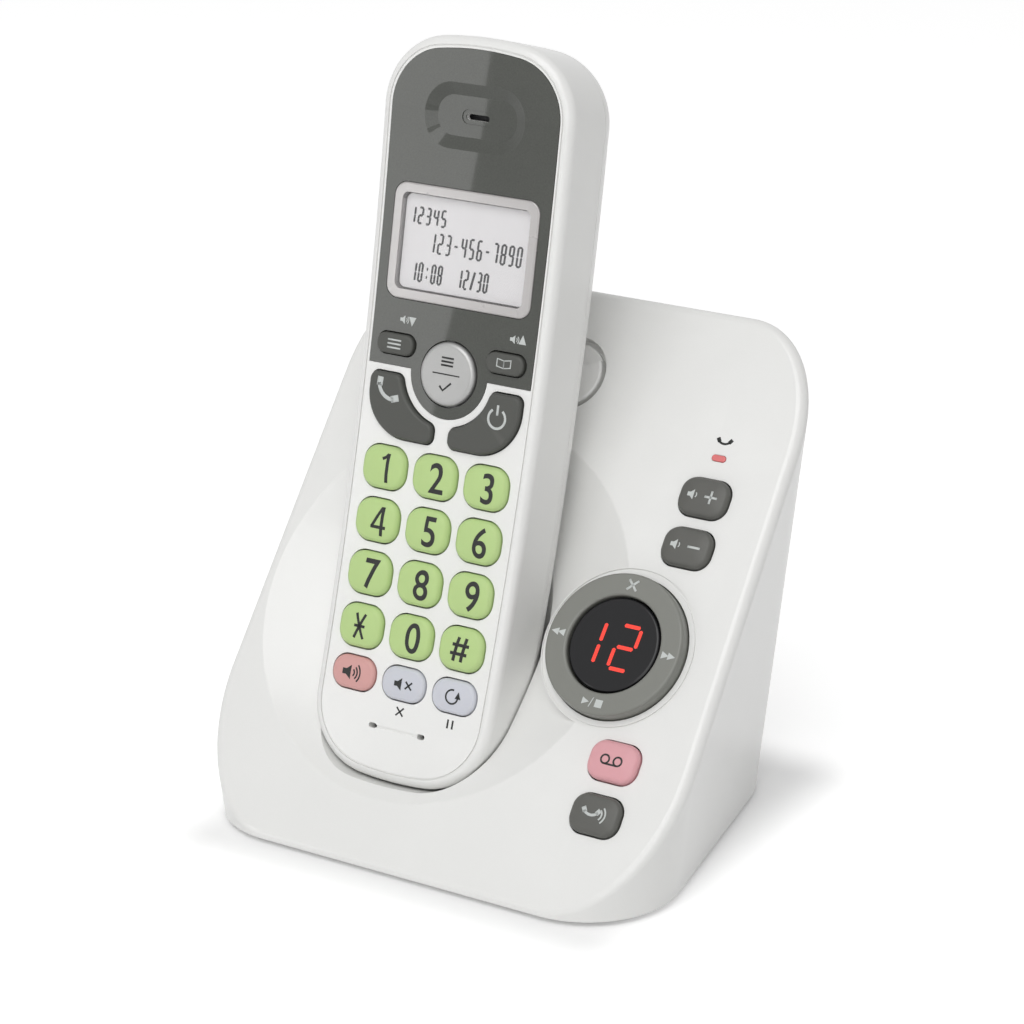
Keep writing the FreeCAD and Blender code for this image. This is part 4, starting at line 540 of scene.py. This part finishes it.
def seven_bar(text, tall, wide, pitch, thick, gap, lean):
    """Row of flat seven-bar figures, its middle at the origin, leaning by an angle in degrees."""
    half_tall, half_wide = (tall - thick) / 2, (wide - thick) / 2
    upright_bar = one_bar(half_tall - gap, thick)
    level_bar = one_bar(2 * half_wide - gap, thick)
    slant = Matrix.Identity(4)
    slant[0][1] = math.tan(math.radians(lean))
    pieces = []
    for number, sign in enumerate(text):
        middle = (number - (len(text) - 1) / 2) * pitch
        for letter in LIT.get(sign, ""):
            across, along, level_one = BARS[letter]
            bar = copy_of(level_bar if level_one else upright_bar, "bar")
            turn = Matrix.Rotation(math.pi / 2 if level_one else 0, 4, "Z")
            place = Vector((middle + across * half_wide, along * half_tall, 0)) * MM
            bar.data.transform(slant @ Matrix.Translation(place) @ turn)
            pieces.append(bar)
        for height in (COLON_HEIGHT, -COLON_HEIGHT) if sign == ":" else ():
            dot = copy_of(level_bar, "dot")
            place = Matrix.Translation(Vector((middle, height * half_tall, 0)) * MM)
            dot.data.transform(slant @ place @ Matrix.Diagonal((thick / (2 * half_wide - gap), 1, 1, 1)))
            pieces.append(dot)
        if sign == "/":
            ends = [(middle - half_wide, -half_tall), (middle + half_wide, half_tall)]
            pieces.append(ribbon(ends, thick))
    bpy.data.objects.remove(upright_bar)
    bpy.data.objects.remove(level_bar)
    return joined(pieces, "figures")


# A print is dropped on its surface from PRINT_START above, and its face ends at PRINT_LIFT.
PRINT_START = 4
PRINT_LIFT = 0.04
PRINT_DEPTH = 0.08
WELD = 0.001


def print_on(surface, flat, place, name, body, ink, cuts=2):
    """Lay a flat sign on a surface, seen along the Z of its place, and let it ride a body."""
    only(flat)
    flat.name = name
    bpy.ops.object.mode_set(mode="EDIT")
    bpy.ops.mesh.select_all(action="SELECT")
    bpy.ops.mesh.remove_doubles(threshold=WELD * MM)
    bpy.ops.mesh.subdivide(number_cuts=cuts)
    leave_edit()
    flat.matrix_world = place @ Matrix.Translation((0, 0, PRINT_START * MM))
    bpy.context.view_layer.update()
    apply_modifier(flat, "SHRINKWRAP", target=surface, wrap_method="PROJECT", use_project_z=True,
                   use_negative_direction=True, use_positive_direction=False, offset=PRINT_LIFT * MM)
    apply_modifier(flat, "SOLIDIFY", thickness=PRINT_DEPTH * MM, offset=-1)
    settle(flat, flat.matrix_world.copy())
    flat.data.materials.clear()
    flat.data.materials.append(ink)
    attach(flat, body)


# Keys

KEY_ACROSS, KEY_ALONG, KEY_FIVE = 12.9, 11.57, 55
OVAL_ROW = 21.6
DIGIT_KEYS = [("key_1", "1"), ("key_2", "2"), ("key_3", "3"), ("key_4", "4"), ("key_5", "5"),
              ("key_6", "6"), ("key_7", "7"), ("key_8", "8"), ("key_9", "9"), ("key_star", "*"),
              ("key_0", "0"), ("key_hash", "#")]
DIGIT_TALL, DIGIT_NARROW, DIGIT_WEIGHT = 6.6, 0.86, 0.009

# Figures stand a little right of their key's middle, the two marks less so.
DIGIT_STEP, MARK_STEP = 1.2, 0.3

# Figures drawn as strokes: the points of each line, and the width of the stroke
STROKES = {
    "1": [([(-1.2, 1.9), (-0.35, 2.35), (0.15, 3.05)], 0.66), ([(0.2, -3.15), (0.2, 3.15)], 0.78)],
    "4": [([(0.75, -3.15), (0.75, 3.15)], 0.76), ([(0.5, 3.0), (-1.65, -1.25)], 0.66),
          ([(-1.95, -1.3), (1.75, -1.3)], 0.7)],
    "*": [([(-1.15, -2.7), (1.15, 2.7)], 0.62), ([(-1.15, 2.7), (1.15, -2.7)], 0.62),
          ([(-1.35, 0), (1.35, 0)], 0.62)],
    "#": [([(-1.35, -2.6), (-0.55, 2.6)], 0.75), ([(0.55, -2.6), (1.35, 2.6)], 0.75),
          ([(-2.2, -0.95), (1.9, -0.95)], 0.7), ([(-1.9, 0.95), (2.2, 0.95)], 0.7)],
}


def seat_cap(cap, node, place, material):
    """Put a finished key cap where its node is and let it move with it."""
    cap.name = node + "_cap"
    settle(cap, place)
    cap.data.materials.append(material)
    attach(cap, node + "_body")
    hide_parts(node)
    return cap


digit_cap = key_cap("digit_cap", width=10.9, length=9.3, corner=3.7, rise=1.7, edge=1.3, crown=0.35)
for number, (node, sign) in enumerate(DIGIT_KEYS):
    place = on_handset((number % 3 - 1) * KEY_ACROSS, KEY_FIVE + (1 - number // 3) * KEY_ALONG)
    cap = seat_cap(copy_of(digit_cap, node), node, place, key_green)
    step = MARK_STEP if sign in "*#" else DIGIT_STEP
    if sign in STROKES:
        figure = joined([ribbon(line, width) for line, width in STROKES[sign]], "strokes")
    else:
        figure = numeral(sign, DIGIT_TALL, DIGIT_NARROW, DIGIT_WEIGHT)
    print_on(cap, figure, place @ Matrix.Translation((step * MM, 0, 0)), node + "_figure",
             node + "_body", print_black, cuts=5)
bpy.data.objects.remove(digit_cap)

oval_cap = key_cap("oval_cap", width=10.9, length=7.2, corner=3.4, rise=1.19, edge=0.9, crown=0.3)
ovals = {}
for column, (node, material, slot) in enumerate([
        ("speaker_key", key_salmon, "key_salmon"), ("mute_key", key_grey, "key_grey"),
        ("redial_key", key_grey, "key_grey")]):
    place = on_handset((column - 1) * KEY_ACROSS, OVAL_ROW)
    ovals[node] = seat_cap(copy_of(oval_cap, node), node, place, material)
bpy.data.objects.remove(oval_cap)

BUTTON_COLUMN = 52.5
BASE_BUTTONS = [("volume_up", 35.6, button_dark, "button_dark"),
                ("volume_down", 24.2, button_dark, "button_dark"),
                ("answer_button", -23.9, button_pink, "button_pink"),
                ("find_button", -35.6, button_dark, "button_dark")]
base_cap = key_cap("base_cap", width=11.5, length=8.6, corner=3.3, rise=1.8, edge=1.1, crown=0.25)
base_caps = {}
for node, station, material, slot in BASE_BUTTONS:
    place = on_face(BUTTON_COLUMN, station)
    base_caps[node] = (seat_cap(copy_of(base_cap, node), node, place, material), place)
bpy.data.objects.remove(base_cap)

# Printed signs, each drawn about its own middle in millimetres


def handset_sign(reach, width):
    """Telephone receiver: a bowed grip and two lobes."""
    grip = ribbon(arc(0, 0.95 * reach, 1.15 * reach, 225, 315), width)
    lobes = [ribbon([(side * 1.0 * reach, 0.5 * reach), (side * 0.66 * reach, 0)], 1.7 * width)
             for side in (-1, 1)]
    return joined([grip] + lobes, "handset_sign")


def wave_signs(across, radii, width):
    return [ribbon(arc(across, 0, radius, -48, 48), width) for radius in radii]


def speaker_sign(scale, radii=(0.9, 1.6, 2.3), width=0.32):
    """Loudspeaker cone and its waves."""
    cone = patch([(-2.5 * scale, -0.6 * scale), (-1.6 * scale, -0.6 * scale),
                  (-0.5 * scale, -1.5 * scale), (-0.5 * scale, 1.5 * scale),
                  (-1.6 * scale, 0.6 * scale), (-2.5 * scale, 0.6 * scale)])
    waves = wave_signs(-0.5 * scale, [radius * scale for radius in radii], width * scale)
    return joined([cone] + waves, "speaker_sign")


def cross_sign(reach, width, across=0):
    return joined([ribbon([(across - reach, -side * reach), (across + reach, side * reach)], width)
                   for side in (-1, 1)], "cross_sign")


def triangle(across, along, reach, turn):
    """Filled triangle whose tip points by an angle in degrees."""
    points = []
    for corner in (0, 130, 230):
        angle = math.radians(turn + corner)
        points.append((across + reach * math.cos(angle), along + reach * math.sin(angle)))
    return patch(points)


def stacked_lines(reach, step, width):
    return joined([ribbon([(-reach, row * step), (reach, row * step)], width) for row in (-1, 0, 1)],
                  "stacked_lines")


# Places of the signs on the handset
TALK_ACROSS, TALK_ALONG = -14.6, 82.6
OFF_ACROSS, OFF_ALONG = 13.9, 81.6
SOFT_ACROSS, SOFT_ALONG = 13.9, 93.2
MENU_ALONG = 88.8
VOLUME_ALONG = 98.6
MARKS_ALONG = 15.6


def sign_on_handset(surface, flat, across, along, name, body, ink, turn=0.0):
    place = on_handset(across, along) @ Matrix.Rotation(math.radians(turn), 4, "Z")
    print_on(surface, flat, place, name, body, ink)


PANEL = NODES["handset_face_panel"]
FRONT = NODES["handset_front_shell"]

sign_on_handset(NODES["talk_key"], handset_sign(3.2, 0.85), TALK_ACROSS, TALK_ALONG, "talk_sign",
                "talk_key_body", print_light, turn=-38)
power = joined([ribbon(arc(0, 0, 2.1, 125, 415, 20), 0.55), ribbon([(0, 0.7), (0, 2.9)], 0.55)], "power")
sign_on_handset(NODES["off_key"], power, OFF_ACROSS, OFF_ALONG, "off_sign", "off_key_body", print_light)
sign_on_handset(NODES["soft_key_left"], stacked_lines(1.7, 0.85, 0.35), -SOFT_ACROSS, SOFT_ALONG,
                "list_sign", "soft_key_left_body", print_light)
pages = [ribbon([(0, -0.9), (side * 1.7, -0.6), (side * 1.7, 1.0), (0, 0.7)], 0.3, closed=True)
         for side in (-1, 1)]
sign_on_handset(NODES["soft_key_right"], joined(pages, "book"), SOFT_ACROSS, SOFT_ALONG, "book_sign",
                "soft_key_right_body", print_light)
menu_lines = [ribbon([(-1.5, height), (1.5, height)], 0.4) for height in (1.9, 2.7, 3.5)]
rule = ribbon([(-3.4, 0), (3.4, 0)], 0.28)
tick = ribbon([(-1.3, -2.6), (-0.4, -3.5), (1.5, -1.7)], 0.45)
sign_on_handset(NODES["menu_button"], joined([rule] + menu_lines + [tick], "menu"), 0, MENU_ALONG,
                "menu_sign", "menu_button_body", print_black)
for name, across, turn in (("volume_down_mark", -12.2, -90), ("volume_up_mark", 15.6, 90)):
    mark = joined([triangle(1.6, 0, 1.2, turn), speaker_sign(0.6, (0.9, 1.6))], "mark")
    sign_on_handset(PANEL, mark, across, VOLUME_ALONG, name, "handset", print_light)

sign_on_handset(ovals["speaker_key"], speaker_sign(1.05), -KEY_ACROSS + 0.2, OVAL_ROW, "speaker_sign",
                "speaker_key_body", print_black)
mute = joined([speaker_sign(0.9, ()), cross_sign(0.8, 0.38, 1.4)], "mute")
sign_on_handset(ovals["mute_key"], mute, 0.4, OVAL_ROW, "mute_sign", "mute_key_body", print_black)
again = joined([ribbon(arc(0, 0, 1.5, 80, 370, 20), 0.38), triangle(1.5, 0.35, 0.95, 90)], "again")
sign_on_handset(ovals["redial_key"], again, KEY_ACROSS, OVAL_ROW, "redial_sign", "redial_key_body",
                print_black)
sign_on_handset(FRONT, cross_sign(0.9, 0.36), 0, MARKS_ALONG, "delete_mark", "handset", print_black)
pause = joined([ribbon([(side * 0.6, -0.95), (side * 0.6, 0.95)], 0.42) for side in (-1, 1)], "pause")
sign_on_handset(FRONT, pause, KEY_ACROSS, MARKS_ALONG, "pause_mark", "handset", print_black)


def sign_on_base(node, flat, across, along, name, ink):
    cap, place = base_caps[node]
    print_on(cap, flat, place @ Matrix.Translation(Vector((across, along, 0)) * MM), name,
             node + "_body", ink)


ARM = 1.45
LEVEL_ARM, UPRIGHT_ARM = [(-ARM, 0), (ARM, 0)], [(0, -ARM), (0, ARM)]
for node, lines in (("volume_up", (LEVEL_ARM, UPRIGHT_ARM)), ("volume_down", (LEVEL_ARM,))):
    arms = joined([ribbon(line, 0.5) for line in lines], "arms")
    sign_on_base(node, arms, 2.1, 0, node + "_sign", print_light)
    sign_on_base(node, speaker_sign(0.75, (0.9,)), -1.6, 0, node + "_speaker_sign", print_light)
REEL_ACROSS, REEL = 1.5, 0.95
reels = [ribbon(arc(side * REEL_ACROSS, 0, REEL, 0, 345, 20), 0.4, closed=True) for side in (-1, 1)]
tape = ribbon([(-REEL_ACROSS, -REEL), (REEL_ACROSS, -REEL)], 0.4)
sign_on_base("answer_button", joined(reels + [tape], "reels"), 0, 0, "answer_sign", print_black)
ringing = joined([handset_sign(2.0, 0.6)] + wave_signs(1.2, (1.4, 2.2), 0.36), "ringing")
sign_on_base("find_button", ringing, -0.6, 0, "find_sign", print_light)
IN_USE_ALONG = 48.6
print_on(NODES["base_top_shell"], handset_sign(1.7, 0.5), on_face(BUTTON_COLUMN, IN_USE_ALONG),
         "in_use_sign", "base", print_black)

# Ring signs and the two displays

RING_ACROSS = 44.5
RING_MIDDLE = 13.2
RING = NODES["ring_button"]


def sign_on_ring(flat, across, along, name):
    print_on(RING, flat, on_face(RING_ACROSS + across, along), name, "ring_button_body", print_light)


sign_on_ring(cross_sign(1.15, 0.5), 0, RING_MIDDLE, "ring_cross")
for name, side, turn in (("ring_back", -1, 180), ("ring_forward", 1, 0)):
    arrows = [triangle(step, 0, 1.05, turn) for step in (-0.75, 0.75)]
    sign_on_ring(joined(arrows, "arrows"), side * RING_MIDDLE, 0, name)
play = joined([triangle(-1.9, 0, 1.0, 0), ribbon([(-0.7, -1.1), (-0.1, 1.1)], 0.22),
               patch([(0.6, -0.85), (2.3, -0.85), (2.3, 0.85), (0.6, 0.85)])], "play")
sign_on_ring(play, 0, -RING_MIDDLE, "ring_play")

COUNT_SHIFT = (-1.4, -0.3)
count = seven_bar("12", tall=10.6, wide=5.6, pitch=8.4, thick=0.95, gap=0.75, lean=2)
print_on(NODES["display_lens"], count, on_face(RING_ACROSS + COUNT_SHIFT[0], COUNT_SHIFT[1]),
         "message_count", "base", digit_red, cuts=0)

SCREEN = 115.4

# Each row's figures, their height, width and pitch, and its middle from the screen's middle
LCD_ROWS = [("12345", 3.9, 1.5, 1.95, -10.0, 5.6), ("123-456-7890", 4.6, 1.5, 1.98, 2.6, 0.2),
            ("10:08", 4.4, 1.35, 1.65, -9.0, -6.4), ("12/30", 4.4, 1.35, 1.65, 2.6, -6.4)]
for row, (text, tall, wide, pitch, across, along) in enumerate(LCD_ROWS, start=1):
    line = seven_bar(text, tall, wide, pitch, thick=0.55, gap=0.04, lean=3)
    place = on_handset(0, SCREEN) @ Matrix.Translation(Vector((across, along, 0)) * MM)
    print_on(NODES["lcd_module"], line, place, "lcd_row_%d" % row, "handset", lcd_ink, cuts=0)

# Floor, light and camera

# The floor's glow is painted light. It is low within the footprint and its fade, which makes a painted
# shadow, and full beyond them.
FLOOR_SIZE = 8
PAINTED_SHADOW_FOOTPRINT = (46, 44)
PAINTED_SHADOW_FADE = 18
PAINTED_SHADOW_GLOW = 0.3
FLOOR_STRENGTH = 0.5
ROOM_LIGHT = 0.42


def seen_directly(nodes, links):
    """One for what the camera, a reflection or clear plastic shows, zero for light on the object."""
    rays = add(nodes, "ShaderNodeLightPath")
    shown = add(nodes, "ShaderNodeMath", operation="MAXIMUM")
    links.new(rays.outputs["Is Camera Ray"], shown.inputs[0])
    links.new(rays.outputs["Is Glossy Ray"], shown.inputs[1])
    through = add(nodes, "ShaderNodeMath", operation="MAXIMUM")
    links.new(shown.outputs[0], through.inputs[0])
    links.new(rays.outputs["Is Transmission Ray"], through.inputs[1])
    return through.outputs[0]


def level(nodes, links, switch, low, high):
    span = add(nodes, "ShaderNodeMapRange")
    span.inputs["To Min"].default_value = low
    span.inputs["To Max"].default_value = high
    links.new(switch, span.inputs["Value"])
    return span.outputs["Result"]


def floor_with_painted_shadow():
    """White floor with painted light: its glow stays low near the product's footprint as a painted
    shadow and rises beyond it, so that its shadow fades out.
    """
    bpy.ops.mesh.primitive_plane_add(size=FLOOR_SIZE, location=(0, 0, 0))
    floor = bpy.context.active_object
    floor.name = "floor"
    paint, nodes, links, shader = blank_material("floor_paint")
    shader.inputs["Base Color"].default_value = (0.9, 0.9, 0.9, 1)
    shader.inputs["Roughness"].default_value = 1
    shader.inputs["Specular IOR Level"].default_value = 0
    place = add(nodes, "ShaderNodeTexCoord")
    sideways = add(nodes, "ShaderNodeVectorMath", operation="ABSOLUTE")
    links.new(place.outputs["Object"], sideways.inputs[0])
    beyond = add(nodes, "ShaderNodeVectorMath", operation="SUBTRACT")
    links.new(sideways.outputs["Vector"], beyond.inputs[0])
    beyond.inputs[1].default_value = Vector((*PAINTED_SHADOW_FOOTPRINT, 0)) * MM
    clear = add(nodes, "ShaderNodeVectorMath", operation="MAXIMUM")
    links.new(beyond.outputs["Vector"], clear.inputs[0])
    away = add(nodes, "ShaderNodeVectorMath", operation="LENGTH")
    links.new(clear.outputs["Vector"], away.inputs[0])
    # Painted shadow: the glow is lower near the footprint and rises to full beyond it.
    glow = add(nodes, "ShaderNodeMapRange", interpolation_type="SMOOTHSTEP")
    glow.inputs["From Max"].default_value = PAINTED_SHADOW_FADE * MM
    glow.inputs["To Min"].default_value = PAINTED_SHADOW_GLOW
    glow.inputs["To Max"].default_value = 1
    links.new(away.outputs["Value"], glow.inputs["Value"])
    links.new(glow.outputs["Result"], shader.inputs["Emission Color"])
    strength = level(nodes, links, seen_directly(nodes, links), 0, FLOOR_STRENGTH)
    links.new(strength, shader.inputs["Emission Strength"])
    floor.data.materials.append(paint)
    return floor


floor = floor_with_painted_shadow()


def soft_box(name, place, aim, width, height, power):
    """Rectangular lamp that faces a point."""
    lamp = bpy.data.lights.new(name, "AREA")
    lamp.shape = "RECTANGLE"
    lamp.size = width
    lamp.size_y = height
    lamp.energy = power
    stand = bpy.data.objects.new(name, lamp)
    bpy.context.scene.collection.objects.link(stand)
    stand.location = place
    stand.rotation_mode = "QUATERNION"
    stand.rotation_quaternion = (Vector(aim) - Vector(place)).to_track_quat("-Z", "Y")


# Lamps, placed and aimed in metres. The last one shows as a sheen on the dark panel's left half.
PRODUCT_MIDDLE = (0, 0, 0.08)
PANEL_SIDE = (-0.096, 0.058, 0.128)
soft_box("lamp_top", (0.1, -0.75, 1.2), PRODUCT_MIDDLE, 1.0, 1.0, 7.8)
soft_box("lamp_front", (0.6, -1.25, 0.55), PRODUCT_MIDDLE, 0.9, 0.6, 2.9)
soft_box("lamp_sheen", (-0.733, -0.955, 0.226), PANEL_SIDE, 0.2, 0.3, 0.5)


def white_room():
    """Even white light all round, shown brighter than it lights the product."""
    room = bpy.data.worlds.new("studio")
    room.use_nodes = True
    nodes, links = room.node_tree.nodes, room.node_tree.links
    backdrop = nodes["Background"]
    backdrop.inputs["Color"].default_value = (1, 1, 1, 1)
    strength = level(nodes, links, seen_directly(nodes, links), ROOM_LIGHT, 1)
    links.new(strength, backdrop.inputs["Strength"])
    return room


bpy.context.scene.world = white_room()

# The camera's stand and turns were found from the grid of digit keys.
CAMERA_TURN = math.radians(34.24)
CAMERA_DROP = math.radians(25.78)
CAMERA_ROLL = math.radians(-4.51)
CAMERA_STAND = Vector((388.9, -539.2, 323.9)) * MM
TABLE_TILT = math.radians(6)
FOCAL_PIXELS, PICTURE_PIXELS = 3466, 1024
SENSOR = 36
FAR_LIMIT = 20


def picture_camera():
    """Camera with its stand measured from the middle key, and tilted back with the table."""
    right = Vector((math.cos(CAMERA_TURN), math.sin(CAMERA_TURN), 0))
    ahead = Vector((-math.sin(CAMERA_TURN) * math.cos(CAMERA_DROP),
                    math.cos(CAMERA_TURN) * math.cos(CAMERA_DROP), -math.sin(CAMERA_DROP)))
    above = right.cross(ahead)
    rolled_right = right * math.cos(CAMERA_ROLL) + above * math.sin(CAMERA_ROLL)
    rolled_up = above * math.cos(CAMERA_ROLL) - right * math.sin(CAMERA_ROLL)
    stance = Matrix((rolled_right, rolled_up, -ahead)).transposed().to_4x4()
    lens = bpy.data.cameras.new("camera")
    lens.lens = FOCAL_PIXELS / PICTURE_PIXELS * SENSOR
    lens.sensor_width = SENSOR
    lens.clip_end = FAR_LIMIT
    camera = bpy.data.objects.new("camera", lens)
    bpy.context.scene.collection.objects.link(camera)
    middle_key = on_handset(0, KEY_FIVE).to_translation()
    camera.matrix_world = (Matrix.Translation(middle_key) @ Matrix.Rotation(TABLE_TILT, 4, "X")
                           @ Matrix.Translation(CAMERA_STAND) @ stance)
    return camera


bpy.context.scene.camera = picture_camera()
bpy.context.scene.view_settings.view_transform = "Standard"
